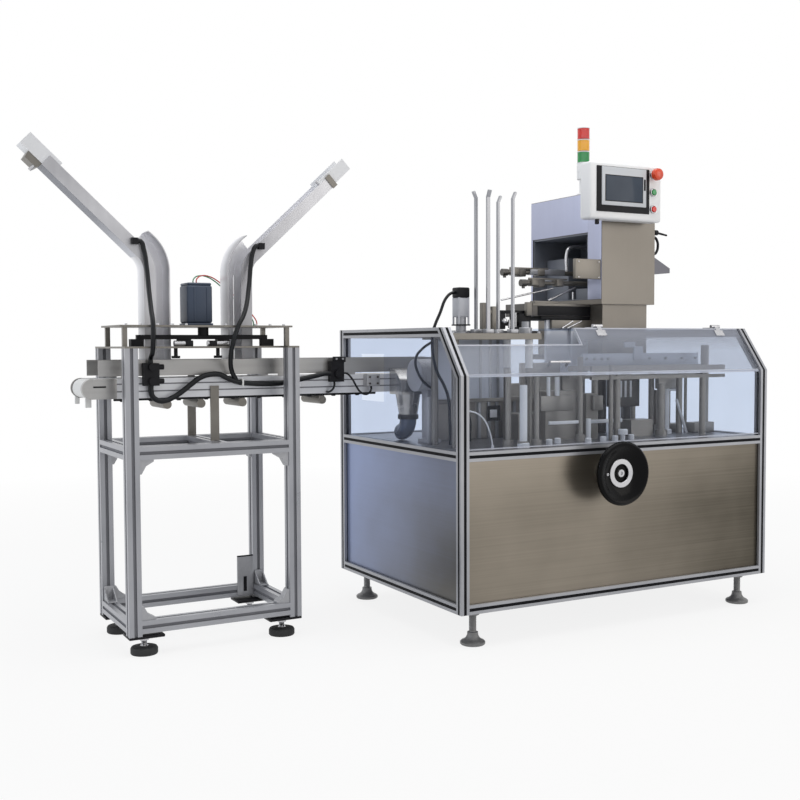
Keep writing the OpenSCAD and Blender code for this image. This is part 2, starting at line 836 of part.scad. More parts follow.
module conveyor_frame() {
    nose_l = 110;
    color("whitesmoke") place() {
        for (y = [conv_y0, conv_y1 - beam_w]) {
            block([conv_x0 + roller_in, conv_x1 - roller_in], [y, y + beam_w], [conv_z, conv_top]);
            for (x = [conv_x0 + roller_in, conv_x1 - roller_in])
                rod_y(x, [y, y + beam_w], conv_z + conv_beam_h / 2, conv_beam_h);
        }
        for (x = [conv_x0 + 3 * nose_l, conv_x1 - 2 * nose_l])
            block([x, x + 60], [conv_y0 + beam_w - eps, conv_y1 - beam_w + eps], [conv_z + 14, conv_top - 16]);
        for (x = [conv_x0 + roller_in, conv_x1 - roller_in])
            rod_y(x, [conv_y0 + beam_w - eps, conv_y1 - beam_w + eps], conv_z + conv_beam_h / 2, 2 * roller_r);
    }
}

module conveyor_belt() {
    y = [conv_y0 + beam_w + 1, conv_y1 - beam_w - 1];
    zc = conv_z + conv_beam_h / 2;
    x = [conv_x0 + roller_in, conv_x1 - roller_in];
    r = belt_r;
    color("white") place() {
        block(x, y, [zc + r - belt_t, zc + r]);
        block(x, y, [zc - r, zc - r + belt_t]);
        for (end = [0, 1]) intersection() {
            difference() {
                rod_y(x[end], y, zc, 2 * r);
                rod_y(x[end], y - [eps, -eps], zc, 2 * (r - belt_t));
            }
            block(end ? [x[1] - eps, x[1] + r] : [x[0] - r, x[0] + eps], y, [zc - r, zc + r]);
        }
    }
}

module conveyor_guides() {
    color("silver") place() {
        for (y = [conv_y0 + 4, conv_y1 - 4 - guide_t]) {
            block([conv_x0 + 50, conv_x1 - 60], [y, y + guide_t], [guide_z, guide_z + guide_h]);
            for (x = [conv_x0 + 120 : 260 : conv_x1 - 140])
                block([x, x + 24], [y, y + guide_t], [conv_top, guide_z + eps]);
        }
    }
}

module conveyor_supports() {
    bar = 28;
    bar_t = 6;
    rear_y = stand_y1 - stand_p + 4;
    roll_d = 28;
    roll_x = [-751, -640, -500, -215];
    color("silver") place() {
        block([cross_x - bar / 2, cross_x + bar / 2], [conv_y0 - bar_t, conv_y0],
            [stand_mid_h, conv_z + 34]);
        block([cross_x - bar / 2, cross_x + bar / 2], [rear_y, rear_y + bar_t], [stand_mid_h, conv_z + 20]);
        block([cross_x - bar / 2, cross_x + bar / 2], [conv_y1, rear_y + eps], [conv_z + 8, conv_z + 20]);
        for (x = roll_x) {
            rod_y(x, [conv_y0 + 6, conv_y1 - 6], conv_z - 22, roll_d);
            for (y = [conv_y0 + 8, conv_y1 - 16]) block([x - 8, x + 8], [y, y + 8], [conv_z - 24, conv_z]);
        }
    }
}

// Feeder

module feeder_plates() {
    up_y = [conv_ym - 130, conv_ym + 100];
    low_z = [low_plate_z, low_plate_z + plate_t];
    post_in = 10;
    post_w = 14;
    color("silver") place() {
        difference() {
            union() {
                for (x = post_x) block([x, x + stand_p], [stand_y, stand_y1], low_z);
                block([stand_x0, stand_x1], up_y, low_z);
                block([stand_x0, stand_x1], up_y, [plate_h - plate_t, plate_h]);
            }
            for (s = [-1, 1]) block(about(stand_xm + s * chute_x, chute_w / 2 + seat),
                about(conv_ym, chute_d / 2 + seat), [low_plate_z - eps, plate_h + eps]);
        }
        for (x = [stand_x0 + post_in, stand_x1 - post_in - post_w], y = [up_y[0] + 4, up_y[1] - 4 - post_w])
            block([x, x + post_w], [y, y + post_w], [low_plate_z + plate_t - eps, plate_h - plate_t + eps]);
    }
}

// A channel's U section, open on the side of growing Y in its own plane
module u_section(h) {
    difference() {
        square([h, chute_d]);
        translate([chute_t, chute_t]) square([h, chute_d - 2 * chute_t]);
    }
}

// A line along the chute's bent channel, at distance d from the underside of its floor
bend_steps = 16;
function chute_line(d) = let (a = 90 - chute_slope, r = bend_r + d) concat([[d, chute_foot]],
    [for (i = [0:bend_steps]) let (t = a * i / bend_steps) [r * cos(t) - bend_r, chute_bend_h + r * sin(t)]],
    [[r * cos(a) - bend_r - channel_l * sin(a), chute_bend_h + r * sin(a) + channel_l * cos(a)]]);
function turned(p) = [for (i = [len(p) - 1:-1:0]) p[i]];
function chute_strip(d) = concat(chute_line(0), turned(chute_line(d)));

// The chute that leans to the left: a drop, a bend and an inclined channel, with a flared back guide.
// Its own X runs from the drop's outer wall, and its own Y across the conveyor.
module chute() {
    flare_r = 150;
    flare_a = 56;
    translate([-chute_w / 2, chute_y0, 0]) {
        along_y([0, chute_d], chute_strip(chute_t));
        for (y = [0, chute_d - chute_t]) along_y([y, y + chute_t], chute_strip(channel_h));
        translate([chute_w, chute_d, 0]) rotate([0, 0, 180]) {
            translate([0, 0, chute_foot]) linear_extrude(chute_bend_h - chute_foot)
                u_section(chute_w - channel_h - 2);
            translate([flare_r + chute_t, 0, chute_bend_h]) rotate([90, 0, 0]) mirror([0, 0, 1])
                rotate_extrude(angle = -flare_a) translate([-flare_r - chute_t, 0]) square([chute_t, chute_d]);
        }
    }
}

module left_chute() {
    color("silver") place() translate([stand_xm - chute_x, 0, 0]) chute();
}

module right_chute() {
    color("silver") place() translate([stand_xm + chute_x, 0, 0]) mirror([1, 0, 0]) chute();
}

module chute_tips() {
    a = 90 - chute_slope;
    tip_w = chute_d - 2 * (chute_t + seat);
    tip_h = channel_h - tip_low + 10;
    color("white") place() for (m = [0, 1]) translate([stand_xm, 0, 0]) mirror([m, 0, 0])
        translate([-chute_x - chute_w / 2 - bend_r, chute_y0, chute_bend_h]) rotate([0, -a, 0])
        translate([bend_r + tip_low, chute_t + seat, channel_l - tip_in]) difference() {
            cube([tip_h, tip_w, tip_l]);
            translate([tip_t, tip_t, -eps]) cube([tip_h, tip_w - 2 * tip_t, tip_l + 2 * eps]);
        }
}

module feeder_motor() {
    size = 86;
    h = 138;
    color("darkslategray") place() {
        block(about(stand_xm, size / 2), about(conv_ym, size / 2), [plate_h, plate_h + h]);
    }
}

module escapement() {
    y = conv_y0 + 20;
    low = low_plate_z + plate_t;
    bar_z = [low + 22, low + 36];
    span = 216;
    color("black") place() {
        block(about(stand_xm, span), [y - 16, y], bar_z);
        for (s = [-1, 1], t = [-74, 78]) {
            x = stand_xm + s * (chute_x + t);
            block([x - 20, x + 20], [y - 22, y + 6], [low, bar_z[0] + eps]);
        }
        rod_z(stand_xm, y - 8, [bar_z[1] - eps, plate_h - plate_t], 34);
    }
}

module junction_blocks() {
    junction_x = [stand_xm - 203, stand_xm + 433];
    valve_x = [stand_xm + 567, stand_xm + 615];
    sensor_z = chute_bend_h + 82;
    sensor_x = chute_x + 62;
    color("black") place() {
        for (x = junction_x) block([x, x + 48], [conv_y0 - 26, conv_y0], [guide_z - 30, guide_z + 40]);
        block(valve_x, [conv_y0 - 30, conv_y0], [guide_z - 47, guide_z - 7]);
        for (s = [-1, 1]) block(about(stand_xm + s * (sensor_x + 10), 10), [chute_y0 - 18, chute_y0],
            [sensor_z, sensor_z + 20]);
    }
}

// Cables clipped along the feeder, the tower and the lift, in routes chosen by hand
chute_cable_l = [[-829, 570, 1272], [-821, 570, 1272], [-811, 568, 1246], [-805, 560, 1190], [-806, 536, 1120],
    [-810, 500, 1056], [-813, 472, 1012], [-815, 468, 950], [-812, 486, 925], [-808, 516, 912],
    [-808, 522, 904], [-808, 522, 892]];
chute_cable_r = [[-429, 570, 1272], [-437, 570, 1272], [-449, 568, 1250], [-459, 560, 1214], [-476, 536, 1138],
    [-512, 488, 1046], [-538, 472, 1008], [-560, 468, 944], [-560, 486, 900], [-549, 506, 864], [-529, 514, 830]];
bundle = [[-808, 522, 822], [-808, 522, 805], [-804, 518, 788], [-789, 514, 776], [-769, 512, 774],
    [-742, 512, 784], [-712, 512, 802], [-683, 511, 824], [-654, 510, 844], [-621, 510, 854], [-590, 511, 854],
    [-563, 513, 842], [-529, 514, 829], [-485, 514, 823], [-433, 514, 820], [-380, 514, 821], [-319, 514, 831],
    [-253, 515, 843], [-215, 516, 850], [-196, 516, 850]];
sensor_cable = [[-148, 518, 850], [-136, 518, 850], [-115, 515, 830], [-100, 515, 806], [-85, 515, 786],
    [-65, 516, 777], [-48, 518, 782], [-40, 520, 795], [-40, 520, 805]];
drop_cable = [[-180, 520, 822], [-180, 520, 810], [-188, 518, 796], [-200, 521, 788], [-202, 527, 788],
    [-202, 535, 788]];
lift_cable = [[143, 260, 1117], [131, 260, 1117], [104, 256, 1100], [76, 250, 1050], [48, 247, 990], [44, 247, 940],
    [54, 252, 890], [74, 262, 850], [100, 270, 815], [122, 276, 770], [130, 280, 700], [132, 280, 640],
    [132, 280, 612]];
tower_cable = [[1069, 352, 1345], [1080, 352, 1345], [1092, 352, 1332], [1095, 352, 1312], [1090, 352, 1294],
    [1080, 352, 1284], [1069, 352, 1284]];

module cables() {
    color("black") place() {
        sweep(bundle, 14);
        for (route = [chute_cable_l, chute_cable_r, lift_cable, tower_cable]) sweep(route, 10);
        for (route = [sensor_cable, drop_cable]) sweep(route, 7);
    }
}

// Two thin leads that arch from the feeder's motor, behind a chute, down to the plate
motor_lead = [[-622, 630, 1148], [-622, 630, 1158], [-614, 636, 1168], [-596, 648, 1175], [-566, 664, 1174],
    [-536, 674, 1162], [-495, 678, 1130], [-448, 674, 1086], [-415, 662, 1046], [-404, 656, 1024],
    [-404, 656, 1010]];
lead_step = [-7, 12, 0];

module motor_leads() {
    color("seagreen") place() for (i = [0, 1]) sweep([for (p = motor_lead) p + i * lead_step], 4);
}

cabinet_posts();
cabinet_rails();
base_plate();
deck_plate();
front_panel();
side_panels();
machine_feet();
left_guard();
fixed_guards();
front_cover();
cover_handle();
cover_hinges();
guard_hinges();
handwheel();
wheel_bearing();
tower_pillars();
tower_pedestal();
tower_housing();
tower_fittings();
control_box();
control_panel();
button_bezels();
emergency_stop();
start_button();
stop_button();
stack_light_base();
red_lamp();
amber_lamp();
green_lamp();
magazine_plate();
magazine_rods();
lift_motor();
pickup_arms();
carton_track();
folding_works();
works_plates();
reject_chute();
reject_hose();
drive_motor();
stand_posts();
stand_rails();
stand_gussets();
stand_feet();
conveyor_frame();
conveyor_belt();
conveyor_guides();
conveyor_supports();
feeder_plates();
left_chute();
right_chute();
chute_tips();
feeder_motor();
escapement();
junction_blocks();
cables();
motor_leads();
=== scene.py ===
import math

import bmesh
import bpy
from mathutils import Matrix, Vector


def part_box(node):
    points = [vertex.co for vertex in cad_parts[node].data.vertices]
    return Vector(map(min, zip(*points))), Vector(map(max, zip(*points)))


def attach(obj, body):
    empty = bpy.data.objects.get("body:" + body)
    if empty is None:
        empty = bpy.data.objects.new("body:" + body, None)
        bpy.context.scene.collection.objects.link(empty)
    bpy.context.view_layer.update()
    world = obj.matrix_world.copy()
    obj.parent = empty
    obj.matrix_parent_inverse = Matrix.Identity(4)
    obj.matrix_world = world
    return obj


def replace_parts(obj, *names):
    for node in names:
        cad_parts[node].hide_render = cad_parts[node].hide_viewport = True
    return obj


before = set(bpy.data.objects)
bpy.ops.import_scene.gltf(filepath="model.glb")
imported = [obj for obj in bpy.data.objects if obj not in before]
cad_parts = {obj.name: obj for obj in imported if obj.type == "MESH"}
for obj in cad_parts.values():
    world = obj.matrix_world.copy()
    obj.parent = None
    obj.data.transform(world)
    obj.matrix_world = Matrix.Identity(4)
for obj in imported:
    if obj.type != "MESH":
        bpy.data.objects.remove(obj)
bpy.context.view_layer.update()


# The studio: a pale floor that runs out into a white background, a broad cool light from the left,
# one from overhead and a weak warm one from the front right. The camera looks from the front left,
# a little above the height of the deck.

def tint(red, green, blue):
    """A colour as it looks on a screen, from 0 to 255, for a shader's socket."""
    return (*[(part / 255) ** 2.2 for part in (red, green, blue)], 1)


class Value:
    """One number in a shader. Plain sums on it add Math nodes."""

    def __init__(self, shader, socket):
        self.shader = shader
        self.socket = socket

    def sum(self, operation, first, second):
        return self.shader.node("ShaderNodeMath", {"operation": operation}, {0: first, 1: second})

    def __add__(self, other):
        return self.sum("ADD", self, other)

    __radd__ = __add__

    def __sub__(self, other):
        return self.sum("SUBTRACT", self, other)

    def __rsub__(self, other):
        return self.sum("SUBTRACT", other, self)

    def __mul__(self, other):
        return self.sum("MULTIPLY", self, other)

    __rmul__ = __mul__

    def __pow__(self, other):
        return self.sum("POWER", self, other)


class Shader:
    """The nodes of one material, or of the world."""

    def __init__(self, owner):
        owner.use_nodes = True
        self.owner = owner
        self.tree = owner.node_tree

    def node(self, kind, settings, inputs, output=0):
        node = self.tree.nodes.new(kind)
        for name, value in settings.items():
            setattr(node, name, value)
        self.set(node, inputs)
        return Value(self, node.outputs[output])

    def set(self, node, inputs):
        for name, value in inputs.items():
            if isinstance(value, Value):
                self.tree.links.new(value.socket, node.inputs[name])
            else:
                node.inputs[name].default_value = value

    def seen(self):
        """One for rays that show the background, straight, in metal or through glass."""
        rays = ["Is Camera Ray", "Is Glossy Ray", "Is Transmission Ray"]
        camera, glossy, passed = [self.node("ShaderNodeLightPath", {}, {}, ray) for ray in rays]
        settings = {"operation": "ADD", "use_clamp": True}
        return self.node("ShaderNodeMath", settings, {0: camera + glossy, 1: passed})

    def place(self):
        """Where a point lies, in the frame of its piece."""
        return self.node("ShaderNodeTexCoord", {}, {}, "Object")

    def noise(self, place, scale, detail):
        return self.node("ShaderNodeTexNoise", {}, {"Vector": place, "Scale": scale, "Detail": detail})

    def between(self, amount, dark, light):
        """A colour that runs from dark to light as an amount grows."""
        ends = {0: amount, 6: tint(*dark), 7: tint(*light)}
        return self.node("ShaderNodeMix", {"data_type": "RGBA"}, ends, 2)


scene = bpy.context.scene
scene.view_settings.view_transform = "Standard"

scene.world = bpy.data.worlds.new("studio")
sky = Shader(scene.world)
ambient = 0.42
shown = sky.seen()
sky.set(sky.tree.nodes["Background"], {"Color": (1, 1, 1, 1), "Strength": shown + ambient * (1 - shown)})

floor_reach, floor_drop = 40, 0.001
floor_mesh = bmesh.new()
bmesh.ops.create_grid(floor_mesh, x_segments=1, y_segments=1, size=floor_reach)
bmesh.ops.translate(floor_mesh, vec=(0, 0, -floor_drop), verts=floor_mesh.verts)
floor = bpy.data.objects.new("floor", bpy.data.meshes.new("floor"))
floor_mesh.to_mesh(floor.data)
floor_mesh.free()
scene.collection.objects.link(floor)
floor_shader = Shader(bpy.data.materials.new("floor"))
floor.data.materials.append(floor_shader.owner)
floor_paint = floor_shader.tree.nodes["Principled BSDF"]
floor_shader.set(floor_paint, {"Base Color": (0.9, 0.9, 0.9, 1), "Roughness": 0.9, "Specular IOR Level": 0.0})
floor_white = floor_shader.node("ShaderNodeEmission", {}, {"Color": (1, 1, 1, 1), "Strength": 1.0})
floor_light = Value(floor_shader, floor_paint.outputs[0])
floor_length = {"operation": "LENGTH"}
floor_away = floor_shader.node("ShaderNodeVectorMath", floor_length, {0: floor_shader.place()}, "Value")
floor_fade = floor_shader.node("ShaderNodeMapRange", {}, {
    "Value": floor_away, "From Min": 1.5, "From Max": 5.0, "To Min": 0.84, "To Max": 1.0})
floor_mix = floor_shader.node(
    "ShaderNodeMixShader", {}, {0: floor_fade * floor_shader.seen(), 1: floor_light, 2: floor_white})
floor_shader.set(floor_shader.tree.nodes["Material Output"], {"Surface": floor_mix})

middle = Vector((0, 0, 0.8))
lamps = [
    ("left_window", (-5.0, 1.2, 2.4), 4.0, 60, (0.86, 0.92, 1.0)),
    ("overhead", (0.3, -0.6, 4.6), 4.0, 95, (1.0, 1.0, 1.0)),
    ("front_fill", (3.6, -4.6, 2.2), 3.0, 48, (1.0, 0.95, 0.88)),
]
for name, place, width, power, color in lamps:
    lamp = bpy.data.objects.new(name, bpy.data.lights.new(name, "AREA"))
    lamp.data.size = width
    lamp.data.energy = power
    lamp.data.color = color
    lamp.location = place
    lamp.rotation_euler = (middle - Vector(place)).to_track_quat("-Z", "Y").to_euler()
    scene.collection.objects.link(lamp)

yaw, pitch, roll = 0.5015180, 0.0506414, -0.0041864
forward = Vector((math.sin(yaw) * math.cos(pitch), math.cos(yaw) * math.cos(pitch), -math.sin(pitch)))
level = Vector((math.cos(yaw), -math.sin(yaw), 0))
upright = level.cross(forward)
side = math.cos(roll) * level + math.sin(roll) * upright
upward = math.cos(roll) * upright - math.sin(roll) * level
camera_place = (-1.834317, -3.225689, 0.947345)
camera_turn = Matrix((side, upward, -forward)).transposed().to_4x4()
camera = bpy.data.objects.new("camera", bpy.data.cameras.new("camera"))
camera.data.sensor_width = 36
camera.data.lens = 49.469
camera.matrix_world = Matrix.Translation(camera_place) @ camera_turn
scene.collection.objects.link(camera)
scene.camera = camera


# The machine stands on four cast feet: a flat disc that runs up in a soft cone to a threaded stem,
# in hammered grey paint, each locked under the frame by a hexagon nut.
# Places are in millimetres from the cabinet's front left corner on the floor.

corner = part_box("cabinet_posts")[0]


def spot(x, y, z):
    return Vector((corner[0] + x / 1000, corner[1] + y / 1000, z / 1000))


def joined(thing, finish, body="machine"):
    """Adds an object to the machine, with its finish, on the body that carries it."""
    thing.data.materials.append(finish)
    scene.collection.objects.link(thing)
    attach(thing, body)
    return thing


sharp_angle = 0.6


def piece(name, mesh, finish, body="machine"):
    """Makes a mesh one piece of the machine, smooth but for its edges."""
    bmesh.ops.recalc_face_normals(mesh, faces=mesh.faces)
    for face in mesh.faces:
        face.smooth = True
    for edge in mesh.edges:
        edge.smooth = edge.calc_face_angle(0) < sharp_angle
    thing = bpy.data.objects.new(name, bpy.data.meshes.new(name))
    mesh.to_mesh(thing.data)
    mesh.free()
    return joined(thing, finish, body)


same_point = 0.00002
to_top = (0, 0, 1)


def turned(mesh, outline, centre, axis=to_top, steps=36):
    """Spins an outline of radius and height about an axis through centre."""
    before = set(mesh.verts)
    line = [mesh.verts.new((radius / 1000, 0, height / 1000)) for radius, height in outline]
    edges = [mesh.edges.new(pair) for pair in zip(line, line[1:])]
    bmesh.ops.spin(mesh, geom=line + edges, cent=(0, 0, 0), axis=to_top, angle=math.tau, steps=steps,
                   use_merge=True)
    fresh = [vert for vert in mesh.verts if vert not in before]
    turn = Vector(axis).to_track_quat("Z", "Y").to_matrix().to_4x4()
    bmesh.ops.transform(mesh, matrix=Matrix.Translation(spot(*centre)) @ turn, verts=fresh)
    bmesh.ops.remove_doubles(mesh, verts=fresh, dist=same_point)


def rod(mesh, x, y, z, width, sides=20, far_width=None):
    """Adds a round or many-sided bar. Each of x, y and z is one number, or a pair from end to end."""
    spans = [span if isinstance(span, tuple) else (span, span) for span in (x, y, z)]
    start, end = [spot(*point) for point in zip(*spans)]
    along = end - start
    turn = along.to_track_quat("Z", "Y").to_matrix().to_4x4()
    place = Matrix.Translation((start + end) / 2) @ turn
    bmesh.ops.create_cone(mesh, cap_ends=True, segments=sides, radius1=width / 2000,
                          radius2=(far_width or width) / 2000, depth=along.length, matrix=place)


def metal(name, dark, light, grain, rough, metallic=0.8, relief=0.04, streak=0.55, fades=(), shine=0.5,
          cloud=0.9, base=0.5):
    """A worked metal: fine streaks drawn out by the grain's scale, over slow clouds of tone.

    Each fade paints light and shade along an axis: it gives the axis, where along it the fade starts and
    ends, and how much lighter it gets.
    Shine is the specular level, streak and cloud say how strong each pattern is, and base is where
    between dark and light the tone lies."""
    shader = Shader(bpy.data.materials.new(name))
    place = shader.place()
    stretched = shader.node("ShaderNodeMapping", {}, {"Vector": place, "Scale": grain})
    streaks = shader.noise(stretched, 1.0, 4.0)
    clouds = shader.noise(place, 3.5, 3.0)
    lightness = streak * (streaks - 0.5) + cloud * (clouds - 0.5) + base
    for axis, start, end, gain in fades:
        along = shader.node("ShaderNodeSeparateXYZ", {}, {"Vector": place}, axis)
        lightness = lightness + gain * shader.node("ShaderNodeMapRange", {}, {
            "Value": along, "From Min": start, "From Max": end})
    tone = shader.between(lightness, dark, light)
    bump = shader.node("ShaderNodeBump", {}, {"Strength": relief, "Distance": 0.002, "Height": streaks})
    shader.set(shader.tree.nodes["Principled BSDF"], {
        "Base Color": tone, "Roughness": rough + 0.4 * streak * (streaks - 0.5), "Metallic": metallic,
        "Specular IOR Level": shine, "Normal": bump})
    return shader.owner


even = (60, 60, 60)
hammered = metal("hammered_grey_paint", (104, 104, 104), (138, 138, 139), (140, 140, 140), 0.42, 0.3, 0.5)

foot_top = 110
foot_outline = [(0, 0), (37, 0), (40, 3), (40, 9), (36, 13), (30, 15), (22, 22), (18, 30), (17, 40), (12, 41)]
foot_thread = [(12 - 1.2 * (ridge % 2), 43 + 2.5 * ridge) for ridge in range(21)]
mesh = bmesh.new()
for x in (78, 1222):
    for y in (58, 792):
        turned(mesh, foot_outline + foot_thread + [(12, foot_top), (0, foot_top)], (x, y, 0))
        rod(mesh, x, y, (foot_top - 16, foot_top), 42, 6)
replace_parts(piece("cast_feet", mesh, hammered), "machine_feet")


# The cabinet is built of square aluminium extrusions, clear anodised, with a slot along each face
# that a black plastic strip closes. The front posts are cut and bent back above the deck.

def slotted(width, slot, depth):
    """The outline of a square extrusion with a slot in the middle of each face."""
    edge = [(0, 0), ((width - slot) / 2, 0), ((width - slot) / 2, depth), ((width + slot) / 2, depth),
            ((width + slot) / 2, 0)]
    outline = []
    for turn in range(4):
        outline += edge
        edge = [(width - b, a) for a, b in edge]
    return outline


def strip_outlines(width, slot, depth, sunk):
    """The outlines of the four strips that close an extrusion's slots."""
    play = 0.2
    low, high = (width - slot) / 2 + play, (width + slot) / 2 - play
    strip = [(low, sunk), (high, sunk), (high, depth), (low, depth)]
    outlines = []
    for turn in range(4):
        outlines.append(strip)
        strip = [(width - b, a) for a, b in strip]
    return outlines


def extruded(mesh, outline, *stations):
    """Draws an outline out through stations, each of which says where a point of it lies."""
    face = first = mesh.faces.new([mesh.verts.new(stations[0](a, b)) for a, b in outline])
    for here, beyond in zip(stations, stations[1:]):
        grown = bmesh.ops.extrude_face_region(mesh, geom=[face])["geom"]
        after = {tuple(round(part, 5) for part in here(a, b)): beyond(a, b) for a, b in outline}
        for vert in [part for part in grown if isinstance(part, bmesh.types.BMVert)]:
            vert.co = after[tuple(round(part, 5) for part in vert.co)]
        if face is not first:
            bmesh.ops.delete(mesh, geom=[face], context="FACES_ONLY")
        face = [part for part in grown if isinstance(part, bmesh.types.BMFace)][0]


def upright_bar(x, y, z):
    return [lambda a, b, level=level: spot(x + a, y + b, level) for level in z]


def long_bar(x, y, z):
    return [lambda a, b, across=across: spot(across, y + a, z + b) for across in x]


def deep_bar(x, y, z):
    return [lambda a, b, back=back: spot(x + a, back, z + b) for back in y]


profile, slot_width, slot_depth, strip_sunk = 30, 10, 5, 0.6
right_post, back_post = 1270, 820
deck_rail, bend_height, cabinet_top = 585, 850, 1000
top_set_back = 110
bend_angle = math.atan(top_set_back / (cabinet_top - bend_height))


def slope_y(depth, z):
    """How far back a line parallel to the bent front lies at height z."""
    return top_set_back + depth / math.cos(bend_angle) - (cabinet_top - z) * math.tan(bend_angle)


def bent_post(x):
    lean = math.tan(bend_angle / 2)
    return [lambda a, b: spot(x + a, b, foot_top), lambda a, b: spot(x + a, b, bend_height - b * lean),
            lambda a, b: spot(x + a, slope_y(b, cabinet_top), cabinet_top)]


def top_rail(x):
    low = cabinet_top - profile
    return [lambda a, b: spot(x + a, slope_y(profile, low + b), low + b),
            lambda a, b: spot(x + a, back_post, low + b)]


bars = [long_bar((profile, right_post), back_post, cabinet_top - profile)]
for x in (0, right_post):
    bars += [bent_post(x), upright_bar(x, back_post, (foot_top, cabinet_top)), top_rail(x)]
    bars += [deep_bar(x, (profile, back_post), z) for z in (foot_top, deck_rail)]
for y in (0, back_post):
    bars += [long_bar((profile, right_post), y, z) for z in (foot_top, deck_rail)]

anodised = metal("clear_anodised_aluminium", (142, 144, 150), (178, 179, 184), (9, 9, 9), 0.32, 0.5, 0.0)
black_strip = metal("black_slot_strip", (12, 13, 16), (24, 25, 29), even, 0.55, 0.0, 0.1, shine=0.1)
profile_mesh = bmesh.new()
strip_mesh = bmesh.new()
for bar in bars:
    extruded(profile_mesh, slotted(profile, slot_width, slot_depth), *bar)
    for outline in strip_outlines(profile, slot_width, slot_depth, strip_sunk):
        extruded(strip_mesh, outline, *bar)
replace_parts(piece("cabinet_profiles", profile_mesh, anodised), "cabinet_posts", "cabinet_rails")
piece("cabinet_slot_strips", strip_mesh, black_strip)


# Plain sheets of brushed stainless steel close the cabinet below the deck, set back in the frame.
# The deck and the base are milled plates that the works are bolted to.

def dress(finish, *nodes):
    """Gives nodes that keep their CAD shape their finish."""
    for name in nodes:
        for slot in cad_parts[name].material_slots:
            slot.material = finish


# The front panel's fades paint light and shade on it: darker towards its right end and lighter towards its
# top.
front_steel = metal("front_panel_brushed_steel", (80, 75, 66), (162, 153, 140), (1.5, 30, 160), 0.30, 0.8,
                    0.0, 0.22, [("X", 0.5, 1.2, -0.5), ("Z", 0.4, 0.58, 0.25)], cloud=0.4)
# The end panels are the same steel with painted daylight: a cold tint and fades that make them lighter and
# bluer towards the back and towards the top.
side_daylight_fades = [("Y", -0.36, 0.4, 0.75), ("Z", 0.12, 0.5, 0.4)]
side_steel = metal("end_panel_steel_painted_daylight", (96, 95, 93), (136, 149, 184), (30, 1.5, 160), 0.30, 0.7,
                   0.0, 0.12, side_daylight_fades, cloud=0.5, base=-0.1)
deck_steel = metal("milled_deck_plate", (104, 104, 108), (146, 146, 152), (6, 60, 60), 0.32, 0.8)
dress(front_steel, "front_panel")
dress(side_steel, "side_panels")
dress(deck_steel, "base_plate", "deck_plate")


# Clear acrylic sheets guard the ends and the back. They have a faint cold tint, and shine more
# the flatter one looks along them.

def clear(name, color, through, least, most, haze=None):
    """A clear sheet that tints what shows through it, with dust and shine of one colour on it.

    Haze gives the height, in metres, above which the sheet is dusty, and the dust there and at the top."""
    shader = Shader(bpy.data.materials.new(name))
    facing = shader.node("ShaderNodeLayerWeight", {}, {"Blend": 0.5}, "Facing")
    place = shader.place()
    smears = shader.noise(place, 6.0, 3.0)
    dust = least + (most - least) * facing ** 2.5 + 0.06 * (smears - 0.5)
    if haze:
        bend, low_dust, top_dust = haze
        height = shader.node("ShaderNodeSeparateXYZ", {}, {"Vector": place}, "Z")
        above = shader.node("ShaderNodeMapRange", {}, {
            "Value": height, "From Min": 0.92, "From Max": 0.98, "To Min": low_dust, "To Max": top_dust})
        step = shader.node("ShaderNodeMath", {"operation": "GREATER_THAN"}, {0: height, 1: bend})
        dust = dust + step * above
    skin = shader.tree.nodes["Principled BSDF"]
    shader.set(skin, {"Base Color": tint(*color), "Roughness": 0.06 + 0.08 * smears, "IOR": 1.49})
    open_sheet = shader.node("ShaderNodeBsdfTransparent", {}, {"Color": tint(*through)})
    dusty = Value(shader, skin.outputs[0])
    sheet = shader.node("ShaderNodeMixShader", {}, {0: dust, 1: open_sheet, 2: dusty})
    shader.set(shader.tree.nodes["Material Output"], {"Surface": sheet})
    return shader.owner


guard_clear = clear("clear_guard_sheet", (112, 120, 142), (241, 246, 254), 0.04, 0.5)
left_clear = clear("clear_left_guard_sheet", (150, 158, 178), (248, 250, 254), 0.03, 0.3)
dress(guard_clear, "fixed_guards")
dress(left_clear, "left_guard")


# The front cover is one bent sheet of acrylic, notched for the carton magazine, with sawn edges
# that look frosted. It hangs on two small steel hinges and is lifted by a bow handle.

cover_clear = clear("clear_cover_sheet", (160, 165, 178), (249, 251, 254), 0.04, 0.35, (0.848, 0.24, 0.5))
frosted = clear("frosted_sheet_edge", (226, 230, 240), (250, 250, 255), 0.55, 0.9)
bright_steel = metal("bright_steel", (164, 164, 167), (212, 212, 215), (20, 20, 20), 0.24, 0.8, 0.0)
dress(cover_clear, "front_cover")
dress(bright_steel, "cover_handle", "cover_hinges", "guard_hinges")


def edge_band(z0, z1):
    """Points of a narrow band over the slanted sheet's edge."""
    return [(slope_y(5.6, z0), z0), (slope_y(14.4, z0), z0), (slope_y(14.4, z1), z1), (slope_y(5.6, z1), z1)]


cover_left, notch_right, cover_right = 34.7, 523.3, 1265.3
bands = [
    ((523, cover_right), edge_band(996, 1000.3)),
    ((cover_left, notch_right), edge_band(941, 945.3)),
    ((519.5, notch_right), edge_band(945, 1000)),
    ((cover_left, cover_right), [(5.6, 619.7), (14.4, 619.7), (14.4, 623), (5.6, 623)]),
    ((34.8, 1265.2), [(5.5, 845), (8, 844), (slope_y(8, 853), 853), (slope_y(5.5, 854), 854)]),
]
mesh = bmesh.new()
for ends, points in bands:
    extruded(mesh, points, *long_bar(ends, 0, 0))
piece("cover_sawn_edges", mesh, frosted, "cover")


# The handwheel is a dished black moulding, polished, on a steel shaft. A machined ring and a
# socket bolt hold it, and a dark flanged bearing carries the shaft through the front panel.

